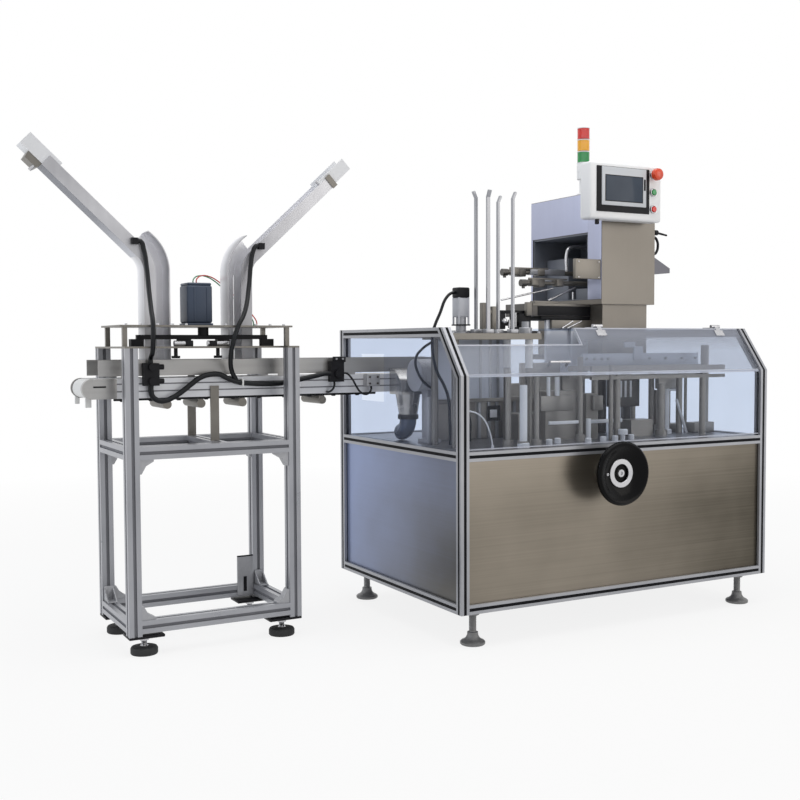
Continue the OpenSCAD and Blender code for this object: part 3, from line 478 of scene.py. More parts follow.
def gloss(name, dark, light, rough, coat=0.0, relief=0.05, scale=90.0, shine=0.5):
    """A moulded plastic or paint: a slight change of tone and a very fine skin."""
    shader = Shader(bpy.data.materials.new(name))
    place = shader.place()
    clouds = shader.noise(place, 7.0, 3.0)
    skin = shader.noise(place, scale, 2.0)
    tone = shader.between(clouds, dark, light)
    bump = shader.node("ShaderNodeBump", {}, {"Strength": relief, "Distance": 0.001, "Height": skin})
    shader.set(shader.tree.nodes["Principled BSDF"], {
        "Base Color": tone, "Roughness": rough + 0.12 * (skin - 0.5), "Coat Weight": coat,
        "Specular IOR Level": shine, "Normal": bump})
    return shader.owner


def screw(mesh, centre, axis, width):
    """Adds a socket screw's head, seated at centre and facing along axis."""
    outline = [(0, 0.25), (0.26, 0.25), (0.28, 0.55), (0.44, 0.55), (0.5, 0.45), (0.5, 0)]
    turned(mesh, [(radius * width, height * width) for radius, height in outline], centre, axis, 12)


gloss_black = gloss("polished_black_moulding", (8, 8, 9), (16, 16, 18), 0.28, 0.05, 0.02, shine=0.08)
dark_steel = metal("dark_oiled_steel", (74, 72, 70), (108, 105, 102), (40, 40, 40), 0.42, 0.6, 0.06)
wheel_outline = [
    (0, 35), (40, 35), (41, 50), (62, 55), (86, 60), (98, 63), (103, 66), (105, 71), (105, 76), (102, 82),
    (97, 85), (92, 84.5), (86, 81), (76, 74), (64, 68), (52, 65), (47.5, 64.5), (29, 64.5), (28, 60), (0, 60)]
wheel_x, wheel_z = 572, 525
wheel_centre = (wheel_x, 0, wheel_z)
to_front = (0, -1, 0)
mesh = bmesh.new()
turned(mesh, wheel_outline, wheel_centre, to_front, 64)
rod(mesh, wheel_x, (-36, 72), wheel_z, 24)
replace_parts(piece("dished_wheel", mesh, gloss_black, "wheel"), "handwheel")
mesh = bmesh.new()
turned(mesh, [(30, 64), (30, 67.5), (31, 68.5), (46, 68.5), (47, 67.5), (47, 64), (30, 64)],
       wheel_centre, to_front, 64)
turned(mesh, [(13, 60), (13, 66), (12, 67.5), (6, 67.5), (5.5, 63), (0, 63)], wheel_centre, to_front, 24)
screw(mesh, (wheel_x - 60, -67, wheel_z), to_front, 10)
piece("wheel_ring_and_bolt", mesh, bright_steel, "wheel")
dress(dark_steel, "wheel_bearing")


# The tower carries the carton pick-up. Its housing and pedestal are folded stainless sheet, warm in
# front. Thin sheets on its left side carry a cold pale tone: painted daylight that falls on that side.
# Its open bay is lined with painted shade, grey sheets and blocks where the bay lies in shadow.

def slab(mesh, x, y, z, edge=0.0):
    """Adds a block that spans x, y and z, with its edges rounded."""
    low, high = spot(x[0], y[0], z[0]), spot(x[1], y[1], z[1])
    place = Matrix.Translation((low + high) / 2) @ Matrix.Diagonal((*(high - low), 1))
    corners = bmesh.ops.create_cube(mesh, size=1, matrix=place)["verts"]
    if edge:
        edges = list(dict.fromkeys(line for vert in corners for line in vert.link_edges))
        bmesh.ops.bevel(mesh, geom=edges, offset=edge / 1000, segments=3, profile=0.5, affect="EDGES",
                        material=-1, clamp_overlap=True)


def blocks(name, finish, slot, *spans):
    """Makes one piece of blocks, each with its spans in x, y and z and the rounding of its edges."""
    mesh = bmesh.new()
    for span in spans:
        slab(mesh, *span)
    return piece(name, mesh, finish)


def tube(name, points, width, finish):
    """A smooth hose, cable or bent rod through points."""
    line = bpy.data.curves.new(name, "CURVE")
    line.dimensions = "3D"
    line.bevel_depth = width / 2000
    line.bevel_resolution = 4
    line.resolution_u = 8
    line.use_fill_caps = True
    spline = line.splines.new("BEZIER")
    spline.bezier_points.add(len(points) - 1)
    for knot, point in zip(spline.bezier_points, points):
        knot.co = spot(*point)
        knot.handle_left_type = "AUTO"
        knot.handle_right_type = "AUTO"
    return joined(bpy.data.objects.new(name, line), finish)


tower_steel = metal("tower_brushed_steel", (110, 105, 98), (136, 131, 124), (60, 60, 2), 0.34, 0.55,
                    0.0, 0.15)
# A cold pale copy of the tower's steel: painted daylight on its left side.
tower_steel_painted_daylight = metal("tower_side_painted_daylight", (164, 169, 194), (194, 199, 222), (60, 60, 3), 0.36, 0.5, 0.0, 0.2)
black_plastic = gloss("black_moulded_plastic", (18, 18, 21), (34, 34, 38), 0.5, shine=0.2)
# Painted shade: the grey that stands for the shadow inside the tower's open bay.
bay_painted_shade = gloss("bay_painted_shade_grey", (104, 108, 117), (134, 138, 148), 0.45)
dress(tower_steel, "tower_housing", "tower_pedestal")
dress(dark_steel, "tower_pillars")

tower_left, tower_right = 816, 1069
side_sheet = (tower_left, tower_left + 2)
blocks("tower_side_daylight_sheets", tower_steel_painted_daylight, "side_steel",
       (side_sheet, (342, 420), (1110, 1503), 0.8),
       (side_sheet, (420, 779), (1359, 1503), 0.8),
       (side_sheet, (768, 779), (1094, 1359), 0.8))
# These sheets and blocks paint the shade inside the open bay.
blocks("bay_shade_lining", bay_painted_shade, "dark_steel",
       ((822, 1056), (764, 767.5), (1111, 1357), 0.5),
       ((1053, 1056.5), (422, 764), (1111, 1357), 0.5),
       ((820, 1053), (422, 764), (1352, 1357.5), 0.5),
       ((820, 1053), (422, 764), (1110.5, 1114), 0.5),
       ((819, 1053), (421.5, 425), (1111, 1357), 0.5),
       ((880, 1050), (620, 762), (1116, 1280), 4),
       ((850, 1000), (430, 470), (1290, 1350), 4),
       ((900, 1040), (480, 600), (1114, 1160), 4))

hood_grey = metal("side_hood_sheet", (92, 92, 98), (118, 118, 126), even, 0.4, 0.5, 0.0)
drive_cover = blocks("drive_cover", tower_steel, "front_steel",
                     ((701, tower_left), (344, 360), (1182, 1254), 1.5))
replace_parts(drive_cover, "tower_fittings")
mesh = bmesh.new()
hood_outline = [(tower_right, 1207), (tower_right, 1272), (1149, 1231), (1149, 1213)]
extruded(mesh, hood_outline, *deep_bar(0, (345, 565), 0))
piece("side_hood", mesh, hood_grey)
to_right = (1, 0, 0)
mesh = bmesh.new()
turned(mesh, [(0, 0), (6, 0), (6, 8), (10, 10), (10, 24), (7, 26), (0, 26)], (tower_right, 355, 1364),
       to_right, 20)
rod(mesh, (1090, 1141), 355, (1364, 1356), 9, 16, 7)
piece("clamp_lever", mesh, black_plastic)
mesh = bmesh.new()
for x in (714, 806):
    for z in (1188, 1244):
        screw(mesh, (x, 344, z), to_front, 5)
piece("tower_screws", mesh, bright_steel)
bent_tube = [(917, 1316), (850, 1316), (828, 1308), (820, 1292), (820, 1222)]
tube("bay_bent_tube", [(x, 551, z) for x, z in bent_tube], 14, bright_steel)


# The operator's box is a white moulding with rounded edges. A black touch panel with a silver
# surround fills its front, and three buttons sit in turned bezels beside it.

white_paint = gloss("white_box_paint", (243, 245, 248), (252, 252, 253), 0.32, 0.1)
screen_glass = gloss("slate_screen_glass", (58, 67, 80), (76, 85, 98), 0.12, 0.05, 0.0, shine=0.15)
silver = gloss("silver_panel_face", (200, 204, 210), (214, 217, 222), 0.35)
box_front = 264
operator_box = blocks("operator_box", white_paint, "white_paint",
                      ((700, 1032), (box_front, 322), (1390, 1592), 9),
                      ((828, 1009), (322, 340), (1400, 1490), 2))
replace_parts(operator_box, "control_box")
touch_panel = blocks("touch_panel", black_plastic, "black_plastic",
                     ((730, 972), (261, 264.5), (1417, 1578), 1.2))
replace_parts(touch_panel, "control_panel")
blocks("panel_face", silver, "bright_steel", ((750, 954), (257, 261.2), (1440, 1576), 1.5))
blocks("screen_frame", black_plastic, "black_plastic",
       ((764, 938), (256.2, 257.2), (1454, 1548), 0.3),
       ((942, 950), (256.2, 257.2), (1500, 1540), 0.3))
blocks("panel_screen", screen_glass, "gloss_black", ((767, 935), (255.6, 256.4), (1457, 1545), 0.3))
blocks("box_latch", black_plastic, "black_plastic", ((738, 750), (272, 284), (1372, 1391), 2))
button_x = 990
stop_z, start_z, emergency_z = 1436, 1497, 1560
bezel_outline = [(11.6, 0), (11.6, 7), (12.6, 8), (14, 8), (15, 6.5), (15, 0), (11.6, 0)]
mesh = bmesh.new()
for z in (stop_z, start_z, emergency_z):
    turned(mesh, bezel_outline, (button_x, box_front, z), to_front)
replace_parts(piece("turned_bezels", mesh, bright_steel), "button_bezels")


def coloured_lens(name, deep, pale):
    """A clear coloured moulding with a faint glow of its own colour."""
    shader = Shader(bpy.data.materials.new(name))
    clouds = shader.noise(shader.place(), 40.0, 2.0)
    tone = shader.between(clouds, deep, pale)
    shader.set(shader.tree.nodes["Principled BSDF"], {
        "Base Color": tone, "Roughness": 0.18 + 0.1 * clouds, "Coat Weight": 0.3, "Emission Color": tone,
        "Emission Strength": 0.06})
    return shader.owner


red_plastic = coloured_lens("red_moulding", (196, 26, 22), (226, 44, 34))
orange_plastic = coloured_lens("emergency_stop_moulding", (206, 58, 26), (232, 82, 42))
green_plastic = coloured_lens("green_moulding", (16, 128, 62), (34, 156, 82))
amber_plastic = coloured_lens("amber_moulding", (236, 160, 20), (250, 186, 44))
push_outline = [(0, -20), (9.9, -20), (9.9, 10), (9, 11.6), (6, 12), (0, 12)]
for name, z, finish, slot, body, node in [
        ("start_cap", start_z, green_plastic, "green_plastic", "green_button", "start_button"),
        ("stop_cap", stop_z, red_plastic, "red_plastic", "red_button", "stop_button")]:
    mesh = bmesh.new()
    turned(mesh, push_outline, (button_x, box_front, z), to_front, 28)
    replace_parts(piece(name, mesh, finish, body), node)
mushroom_outline = [
    (0, -20), (9.9, -20), (9.9, 16), (21, 16), (22, 18), (22, 29), (20, 34), (14, 37), (0, 38)]
mesh = bmesh.new()
turned(mesh, mushroom_outline, (button_x, box_front, emergency_z), to_front, 36)
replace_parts(piece("mushroom_head", mesh, orange_plastic, "emergency_button"), "emergency_stop")


# The signal light is a stack of ribbed coloured lenses between thin white rings, on a white
# moulded base and a short white pole that is screwed to the tower's roof.

signal_axis = (841, 480, 0)
signal_outline = [
    (0, 1505), (24, 1505), (24, 1509), (14.4, 1511), (14.4, 1560), (22, 1562), (24, 1564), (24, 1586),
    (23, 1587), (23, 1589), (24, 1590), (24, 1618), (23.2, 1622), (0, 1622)]
mesh = bmesh.new()
turned(mesh, signal_outline, signal_axis)
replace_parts(piece("signal_base", mesh, white_paint), "stack_light_base")
for name, low, finish, slot, node in [
        ("green_lens", 1622, green_plastic, "green_plastic", "green_lamp"),
        ("amber_lens", 1666, amber_plastic, "amber_plastic", "amber_lamp"),
        ("red_lens", 1710, red_plastic, "red_plastic", "red_lamp")]:
    ribs = [(23 - 0.9 * (rib % 2), low + 5 + 2.0 * rib) for rib in range(18)]
    mesh = bmesh.new()
    turned(mesh, [(0, low + 3), (22, low + 3)] + ribs + [(22, low + 41), (0, low + 41)], signal_axis)
    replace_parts(piece(name, mesh, finish), node)
mesh = bmesh.new()
for low in (1622, 1663, 1707, 1751):
    turned(mesh, [(0, low), (23.6, low), (24, low + 0.6), (24, low + 2.4), (23.4, low + 3), (0, low + 3)],
           signal_axis)
piece("signal_rings", mesh, white_paint)


# The magazine holds flat cartons between four flat steel guides whose tops are bent outwards. It is
# empty. Its plate stands on turned pillars, and a small servo with a black cap lifts the stack.

worn_steel = metal("worn_plate_steel", (98, 95, 90), (140, 136, 130), (24, 24, 24), 0.4, 0.6, 0.0)
servo_paint = gloss("pale_servo_housing", (188, 191, 200), (212, 214, 222), 0.35)
dress(worn_steel, "magazine_plate")
dress(anodised, "magazine_rods")
mesh = bmesh.new()
slab(mesh, (141, 183), (239, 281), (1036, 1100), 4)
for x in (144, 180):
    for y in (242, 278):
        rod(mesh, x, y, (1012, 1101), 7, 10)
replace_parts(piece("lift_servo", mesh, servo_paint), "lift_motor")
blocks("servo_cap_and_flange", black_plastic, "black_plastic",
       ((139, 185), (237, 283), (1008, 1012.5), 1),
       ((140, 184), (238, 282), (1100, 1134), 5))
magazine_top = 982
mesh = bmesh.new()
turned(mesh, [(0, 0), (26, 0), (26, 6), (17, 8), (17, 55), (0, 55)], (162, 260, magazine_top))
for x, y in [(67, 157), (67, 333), (403, 157), (403, 333), (240, 160), (345, 330)]:
    screw(mesh, (x, y, magazine_top), to_top, 11)
for x, y in [(193, 216), (213, 174), (310, 174), (320, 276)]:
    slab(mesh, (x - 15, x + 15), (y - 13, y + 13), (magazine_top, magazine_top + 14), 2)
turned(mesh, [(0, 0), (22, 0), (22, 18), (20, 20), (13, 20), (13, 40), (0, 40)], (387, 210, magazine_top))
piece("magazine_fittings", mesh, anodised)
blocks("magazine_back_posts", worn_steel, "dark_steel",
       ((280, 312), (312, 330), (magazine_top, 1088), 2),
       ((321, 343), (314, 328), (magazine_top, 1076), 2),
       ((308, 324), (316, 326), (1050, 1062), 1))


# The pick-up arms swing cartons from the magazine to the track. They are greased steel with clamp
# blocks and thin air lines, carried by an open frame under the tower.

mesh = bmesh.new()
for x, y, z in [(558, 480, 1172), (523, 550, 1214)]:
    rod(mesh, (x, 1056), y, z, 18)
    for along in (36, 150):
        slab(mesh, (x + along, x + along + 32), (y - 18, y + 15), (z - 13, z + 13), 4)
    slab(mesh, (x + 24, x + 200), (y - 14, y - 9), (z + 10, z + 17), 1)
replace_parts(piece("pickup_swing_arms", mesh, worn_steel), "pickup_arms")
frame_height = (1048, 1094)
blocks("pickup_frame", dark_steel, "dark_steel",
       ((571, 836), (430, 446), frame_height, 1),
       ((571, 836), (584, 600), frame_height, 1),
       ((571, 591), (446, 584), frame_height, 1),
       ((806, 836), (446, 584), frame_height, 1))
mesh = bmesh.new()
slab(mesh, (440, 571.5), (448, 462), (1056, 1068), 2)
slab(mesh, (440, 466), (444, 472), (1000, 1056.5), 3)
slab(mesh, (522, 574), (440, 476), (978, 1056.5), 3)
rod(mesh, (466, 522), 456, 1020, 16)
rod(mesh, 496, 456, (1056, 985), 10)
piece("gripper_blocks", mesh, black_plastic)
mesh = bmesh.new()
rod(mesh, 482, 446, (1034, 1004), 9)
rod(mesh, 510, 446, (1060, 1008), 7)
turned(mesh, [(0, 0), (9, 0), (9, 12), (6, 14), (0, 14)], (455, 444, 1030), to_front, 20)
piece("gripper_pins", mesh, bright_steel)
blocks("pickup_top_plates", anodised, "bright_steel",
       ((560, 640), (540, 562), (1222, 1230), 2),
       ((640, 800), (536, 566), (1205, 1228), 3),
       ((600, 690), (470, 492), (1176, 1188), 3))
blocks("pickup_plates", worn_steel, "bright_steel",
       ((548, 572), (430, 446), (1048, 1098), 2),
       ((590, 700), (440, 470), (1092, 1104), 2),
       ((573, 836), (428, 432), (1084, 1094), 1),
       ((655, 838), (424, 437), (1000, 1034), 2))
mesh = bmesh.new()
rod(mesh, (470, 702), 480, (1106, 1153), 7)
rod(mesh, (679, 804), 480, (1107, 1157), 8)
rod(mesh, 850, 551, (1093, 1145), 8)
rod(mesh, (700, 750), 422, (1004, 1030), 6)
rod(mesh, (724, 790), 422, (1004, 1030), 6)
piece("pickup_rods", mesh, bright_steel)
mesh = bmesh.new()
for x, y, z in [(525, 551, 1212), (560, 481, 1170)]:
    rod(mesh, (x - 4, x + 20), y, z, 26, 24)
    rod(mesh, x + 8, y, (z - 20, z), 12, 16)
    slab(mesh, (x + 62, x + 92), (y - 20, y + 17), (z - 15, z + 15), 3)
piece("pickup_joints", mesh, dark_steel)
blocks("pickup_shadow_gap", black_plastic, "black_plastic",
       ((596, 836), (427.5, 430.5), (1050, 1084), 1),
       ((612, 836), (430, 590), (1034, 1048), 2))
# A paler copy of the plate steel, painted light for the apron in the pick-up frame's shadow and for the
# carton back sheets.
plate_steel_painted_light = metal("plate_steel_with_painted_light", (172, 177, 188), (220, 224, 234), (6, 30, 6), 0.34, 0.2, 0.0, 0.3)
blocks("pickup_apron", plate_steel_painted_light, "side_steel",
       ((640, 834), (437, 449), (830, 1040), 1),
       ((744, 752), (424, 437), (840, 1000), 1))


# On the deck, bars, pillars and blocks fold and close the cartons. Everything is bare or oiled
# steel, bolted down, with bright turned collars at the feet of the pillars. Pillars and
# collars are near-white, which paints their polished shine.

# A lighter copy of the worn plate steel, painted light for the works on the deck, which lie in the cabinet's
# shade.
works_steel_painted_light = metal("works_steel_with_painted_light", (124, 120, 114), (172, 167, 160), (24, 24, 24), 0.4, 0.45, 0.0)
dress(works_steel_painted_light, "carton_track", "folding_works")
deck = 612
mesh = bmesh.new()
for x, z in [((150, 330), 772), ((338, 520), 805), ((528, 700), 878), ((708, 815), 832)]:
    slab(mesh, x, (430, 452), (deck, z), 3)
slab(mesh, (150, 815), (412, 431), (742, 760), 2)
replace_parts(piece("works_back_plates", mesh, works_steel_painted_light), "works_plates")
blocks("carton_back_sheets", plate_steel_painted_light, "side_steel",
       ((120, 404), (342, 346), (760, 964), 1),
       ((120, 140), (332, 342), (940, 964), 1),
       ((384, 404), (332, 342), (940, 964), 1),
       ((700, 1255), (300, 306), (866, 911), 1),
       ((932, 975), (292, 300.2), (886, 936), 2),
       ((889, 940), (294, 302), (932, 952), 2))
mesh = bmesh.new()
for x in (286, 326, 358):
    slab(mesh, (x, x + 11), (340.2, 342.2), (762, 962), 0.4)
for x in (336, 376, 410, 486):
    slab(mesh, (x, x + 12), (424, 430.2), (deck, 756), 1)
for x in (717, 752, 786, 815, 1010, 1090, 1170, 1240):
    screw(mesh, (x, 300, 892), to_front, 10)
piece("back_plate_ribs", mesh, anodised)
blocks("sensor_frame_and_shoe", black_plastic, "black_plastic",
       ((374, 427), (419, 424.2), (674, 728), 2),
       ((845, 976), (296, 306), (840, 866.2), 2))
tube("air_hose", [(90, 158, 731), (92, 140, 732), (106, 116, 733), (134, 110, 723), (157, 110, 703),
                  (172, 110, 677), (185, 110, 636), (188, 110, 611)], 5, white_paint)
mesh = bmesh.new()
slab(mesh, (472, 610), (238, 250), (714, 767), 2)
slab(mesh, (672, 716), (203, 215), (713, 765), 2)
rod(mesh, 698, 140, (deck, 874), 15)
for x in (760, 1200):
    rod(mesh, x, 309, (deck, 906), 12)
for x, width, top in [(1067, 30, 772), (1116, 26, 771), (866, 18, 716), (950, 18, 716)]:
    rod(mesh, x, 318, (deck, top), width)
slab(mesh, (1034, 1171), (296, 340), (deck, 644), 3)
slab(mesh, (1005, 1090), (240, 262), (780, 824), 2)
slab(mesh, (1168, 1268), (225, 275), (deck, 650), 3)
rod(mesh, 1240, 250, (640, 940), 30, 24)
piece("works_front_plates", mesh, works_steel_painted_light)
blocks("works_gearbox", dark_steel, "dark_steel",
       ((841, 972), (306, 340), (714, 819), 3),
       ((1096, 1150), (306, 330), (775, 808), 1))
pillars = [(277, 65, 815, 25), (1020, 250, 790, 22), (1060, 260, 790, 22), (860, 300, 700, 22)]
mesh = bmesh.new()
for x, y, top, width in pillars:
    rod(mesh, x, y, (deck, top), width, 24)
    turned(mesh, [(0, 0), (20.5, 0), (20.5, 14), (17, 17), (0, 17)], (x, y, deck), steps=24)
for x, width in [(508, 13), (545, 17)]:
    rod(mesh, x, 244, (766, 832), width)
rod(mesh, 616, 160, (deck, 689), 18)
slab(mesh, (454, 580), (165, 173), (673, 684), 1)
slab(mesh, (655, 806), (207, 216), (667, 680), 1)
turned(mesh, [(0, 0), (8, 0), (8, 20), (17, 20), (17, 36), (14, 39), (0, 39)], (735, 120, deck), steps=24)
for x in (876, 898, 922):
    slab(mesh, (x, x + 9), (303, 307), (749, 810), 1)
for z in ((808, 816), (767, 775)):
    slab(mesh, (1083, 1164), (304, 330), z, 1)
for x in ((1083, 1096), (1150, 1164)):
    slab(mesh, x, (304, 330), (775, 808), 1)
for y in (180, 310):
    rod(mesh, 380, y, (866, 961.8), 26, 24)
rod(mesh, (1100, 1150), 250, (735, deck), 9)
rod(mesh, (1112, 1164), 262, (738, deck), 9)
slab(mesh, (381, 411), (417, 419.2), (686, 714), 1)
rod(mesh, 90, (169, 156), 731, 10, 12)
rod(mesh, 188, 110, (deck, deck + 10), 10, 12)
for x, y in [(420, 120), (470, 140), (560, 90), (640, 110), (700, 120), (780, 130)]:
    turned(mesh, [(0, 0), (11, 0), (11, 16), (9, 18), (5, 18), (5, 15), (0, 15)], (x, y, deck), steps=20)
# A near-white gloss that paints the polished shine of the pillars, collars, bars and studs.
polished = gloss("pillar_steel_with_painted_shine", (236, 238, 242), (252, 252, 254), 0.2)
piece("works_pillars_painted_shine", mesh, polished)


# Wrong cartons drop through a curved hood and a funnel of thin stainless sheet into a hose. Beside
# it lies the drive motor, a ribbed cylinder in grey paint.

sheet_steel = metal("thin_polished_sheet", (138, 134, 128), (198, 196, 192), (50, 4, 50), 0.24, 0.85)
motor_paint = gloss("grey_motor_paint", (166, 166, 170), (192, 192, 196), 0.42)


def copied(node):
    """A node's solid as a mesh with its faces joined."""
    mesh = bmesh.new()
    mesh.from_mesh(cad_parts[node].data)
    bmesh.ops.remove_doubles(mesh, verts=mesh.verts, dist=same_point)
    return mesh


def restyled(node, name, finish):
    """Puts a piece of the same shape, with its curved faces shaded smooth, in a node's place."""
    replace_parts(piece(name, copied(node), finish), node)


restyled("reject_chute", "reject_hood_and_funnel", sheet_steel)
hose_finish = clear("smoky_hose", (74, 84, 102), (180, 190, 210), 0.72, 0.95)
restyled("reject_hose", "reject_hose_bend", hose_finish)
clamp_outline = [(30, 0), (35, 0), (36, 2), (36, 14), (35, 16), (30, 16), (30, 0)]
mesh = bmesh.new()
turned(mesh, clamp_outline, (88, 489, 688))
piece("funnel_clamp", mesh, black_plastic)
ribs = [(55 - 3 * (rib % 2), 64 + 6 * rib) for rib in range(20)]
motor_outline = [(0, 62), (50, 62)] + ribs + [(55, 184), (55, 212), (30, 212), (30, 252), (0, 252)]
mesh = bmesh.new()
turned(mesh, motor_outline, (0, 400, 842), to_right, 40)
slab(mesh, (102, 142), (380, 420), (deck, 792), 3)
slab(mesh, (92, 152), (372, 428), (deck, 624), 2)
slab(mesh, (72, 92), (322, 338), (deck, 771), 6)
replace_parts(piece("ribbed_drive_motor", mesh, motor_paint), "drive_motor")


# The feeder's stand is a heavier square extrusion, bolted up with cast gussets, on black end plates.
# Its feet are rubber discs on short threaded stems.

slot_shadow = gloss("dark_slot", (104, 105, 110), (124, 125, 131), 0.7)
gusset_cast = metal("cast_gusset", (150, 151, 155), (186, 187, 191), (90, 90, 90), 0.45, 0.4, 0.2)
rubber = gloss("dark_rubber", (36, 37, 38), (54, 55, 56), 0.75, 0.0, 0.3)
stand_profile, stand_slot, stand_slot_depth, slot_floor = 40, 10, 7, 4
stand_left, stand_right = -912, -386
stand_front, stand_back = 430, 760
low_rail, middle_rail = 70, 601
plate_top, stand_top = 62, 938
across = (stand_left + stand_profile, stand_right)
inward = (stand_front + stand_profile, stand_back)
stand_bars = []
for x in (stand_left, stand_right):
    stand_bars += [upright_bar(x, y, (plate_top, stand_top)) for y in (stand_front, stand_back)]
    stand_bars += [deep_bar(x, inward, z) for z in (low_rail, middle_rail)]
for y in (stand_front, stand_back):
    stand_bars += [long_bar(across, y, z) for z in (low_rail, middle_rail)]
stand_bars.append(deep_bar(-619, inward, middle_rail))
profile_mesh = bmesh.new()
strip_mesh = bmesh.new()
for bar in stand_bars:
    extruded(profile_mesh, slotted(stand_profile, stand_slot, stand_slot_depth), *bar)
    for outline in strip_outlines(stand_profile, stand_slot, stand_slot_depth, slot_floor):
        extruded(strip_mesh, outline, *bar)
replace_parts(piece("stand_profiles", profile_mesh, anodised), "stand_posts", "stand_rails")
piece("stand_slot_floors", strip_mesh, slot_shadow)
dress(gusset_cast, "stand_gussets")
mesh = bmesh.new()
plate_mesh = bmesh.new()
stem_mesh = bmesh.new()
for x in (-857, -401):
    for y in (469, 761):
        turned(mesh, [(0, 0), (40, 0), (42, 3), (42, 17), (39, 22), (30, 24), (0, 24)], (x, y, 0))
        thread = [(9 - 1.0 * (ridge % 2), 26 + 2 * ridge) for ridge in range(14)]
        turned(stem_mesh, [(0, 24), (13, 24), (13, 26)] + thread + [(9, 54), (0, 54)], (x, y, 0), steps=24)
        rod(stem_mesh, x, y, (42, 53.8), 30, 6)
        slab(plate_mesh, (x - 55, x + 55), (y - 39, y + 39), (54, plate_top), 1)
bracket_mesh = bmesh.new()
for x in (-908, -382):
    slab(bracket_mesh, (x, x + 32), (706, 760), (110, 115), 1)
    slab(bracket_mesh, (x, x + 32), (755, 760), (110, 158), 1)
    for edge in (x, x + 28):
        extruded(bracket_mesh, [(759, 112), (710, 112), (759, 154)], *long_bar((edge, edge + 4), 0, 0))
slab(bracket_mesh, (-872, -822), (766, 794), (110, 115), 1)
slab(bracket_mesh, (-872, -867), (766, 794), (110, 152), 1)
for y in (766, 790):
    extruded(bracket_mesh, [(-870, 112), (-826, 112), (-870, 148)], *deep_bar(0, (y, y + 4), 0))
slab(bracket_mesh, (-446, -388), (755.5, 760.2), (72, 210), 0.5)
piece("stand_angle_brackets", bracket_mesh, gusset_cast)
slab(plate_mesh, (-446, -388), (755.3, 760.3), (209.5, 214), 0.5)
slab(plate_mesh, (-424, -412), (755, 756), (88, 140))
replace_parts(piece("stand_rubber_discs", mesh, rubber), "stand_feet")
piece("stand_foot_stems", stem_mesh, bright_steel)
piece("stand_end_plates", plate_mesh, black_plastic)


# The conveyor is a pair of grooved aluminium side beams with a white belt between them. Its end
# rollers turn in stainless cheeks, and thin steel strips guide the product.

belt_white = gloss("white_belt", (226, 227, 226), (240, 240, 239), 0.55, 0.0, 0.25, 400.0)
guide_steel = metal("satin_guide_strip", (140, 139, 138), (180, 179, 178), (2, 60, 60), 0.34, 0.7)
beam_metal = metal("pale_conveyor_beam", (206, 208, 214), (236, 237, 241), (2, 40, 40), 0.34, 0.2, 0.0, 0.2)
restyled("conveyor_frame", "conveyor_beams", beam_metal)
restyled("conveyor_belt", "conveyor_belt_loop", belt_white)
dress(guide_steel, "conveyor_guides")
restyled("conveyor_supports", "conveyor_bars_and_rollers", worn_steel)
mesh = bmesh.new()
for z in (803, 826):
    slab(mesh, (-930, 298), (534.6, 535.4), (z, z + 4))
    slab(mesh, (-930, 298), (694.6, 695.4), (z, z + 4))
piece("beam_grooves", mesh, slot_shadow)
mesh = bmesh.new()
rod(mesh, -985, (534.4, 555.3), 814, 62.6, 48)
slab(mesh, (-985, -911), (534, 535.4), (782.8, 845.2), 0.5)
piece("conveyor_end_cheek", mesh, guide_steel)
mesh = bmesh.new()
rod(mesh, -985, (674.7, 695.5), 814, 62.6, 48)
piece("conveyor_rear_nose", mesh, dark_steel)
mesh = bmesh.new()
slab(mesh, (-983, -944), (533.4, 534.2), (818, 823), 0.3)
slab(mesh, (-920, -14), (536, 546), (776, 783.2), 2)
for x in range(-900, -20, 90):
    slab(mesh, (x, x + 12), (535, 547), (773, 783.4), 2)
piece("cheek_slot_and_cable_run", mesh, black_plastic)
blocks("belt_scrapers_and_clip", belt_white, "belt",
       ((-1004, -986), (546, 554), (758, 790), 1),
       ((-1006, -992), (678, 686), (764, 792), 1),
       ((-514, -508), (505, 535.2), (815, 838), 1.5))


# Above the belt, two steel plates on standoffs carry the chutes and a small dark stepper motor.
# The chutes are folded satin sheet, and a white plastic tip lines the mouth of each.

# The chute sheet's fades make it lighter towards the back wall, painted light inside the channel where it
# lies in shade, and lighter towards the right chute.
satin_sheet_painted_light = metal("satin_chute_sheet_painted_light", (150, 150, 155), (248, 248, 252), (40, 40, 6), 0.36, 0.35, 0.0, 0.2,
                    [("Y", 0.21, 0.262, 0.7), ("X", -0.56, -0.35, 0.3)], base=0.3)
milky = gloss("milky_chute_tip", (228, 230, 234), (242, 243, 246), 0.3)
stepper_paint = gloss("dark_stepper_housing", (44, 55, 72), (62, 75, 96), 0.45)
dress(worn_steel, "feeder_plates")
dress(milky, "chute_tips")
flange_back, flange_top = 583, 1181
for node, flange, lip in [("left_chute", -769, -729), ("right_chute", -489, -529)]:
    mesh = copied(node)
    # The drop is open in front, so the guide's front flange ends in a narrow lip.
    edge = spot(flange, flange_back, flange_top)
    for vert in mesh.verts:
        if abs(vert.co.x - edge.x) < 0.0003 and vert.co.y < edge.y and vert.co.z < edge.z:
            vert.co.x = spot(lip, 0, 0).x
    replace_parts(piece(node + "_sheet", mesh, satin_sheet_painted_light), node)

left_drop, right_drop = -809, -449
bend_back, bend_z = 60, 1180
channel_cos, channel_sin = 0.682, 0.7314


def mirrored(left, x, z):
    """A place on the left or the right chute, x to the right of the left one's drop."""
    return (left_drop + x if left else right_drop - x, z)


def chute_point(left, u, w):
    """A place on a chute: u above the middle of its bend, w along its channel from the bend."""
    x = channel_cos * u - channel_sin * w - bend_back
    return mirrored(left, x, bend_z + channel_sin * u + channel_cos * w)


def arc(radius, centre, turns):
    return [(radius * math.cos(turn) - centre, bend_z + radius * math.sin(turn)) for turn in turns]


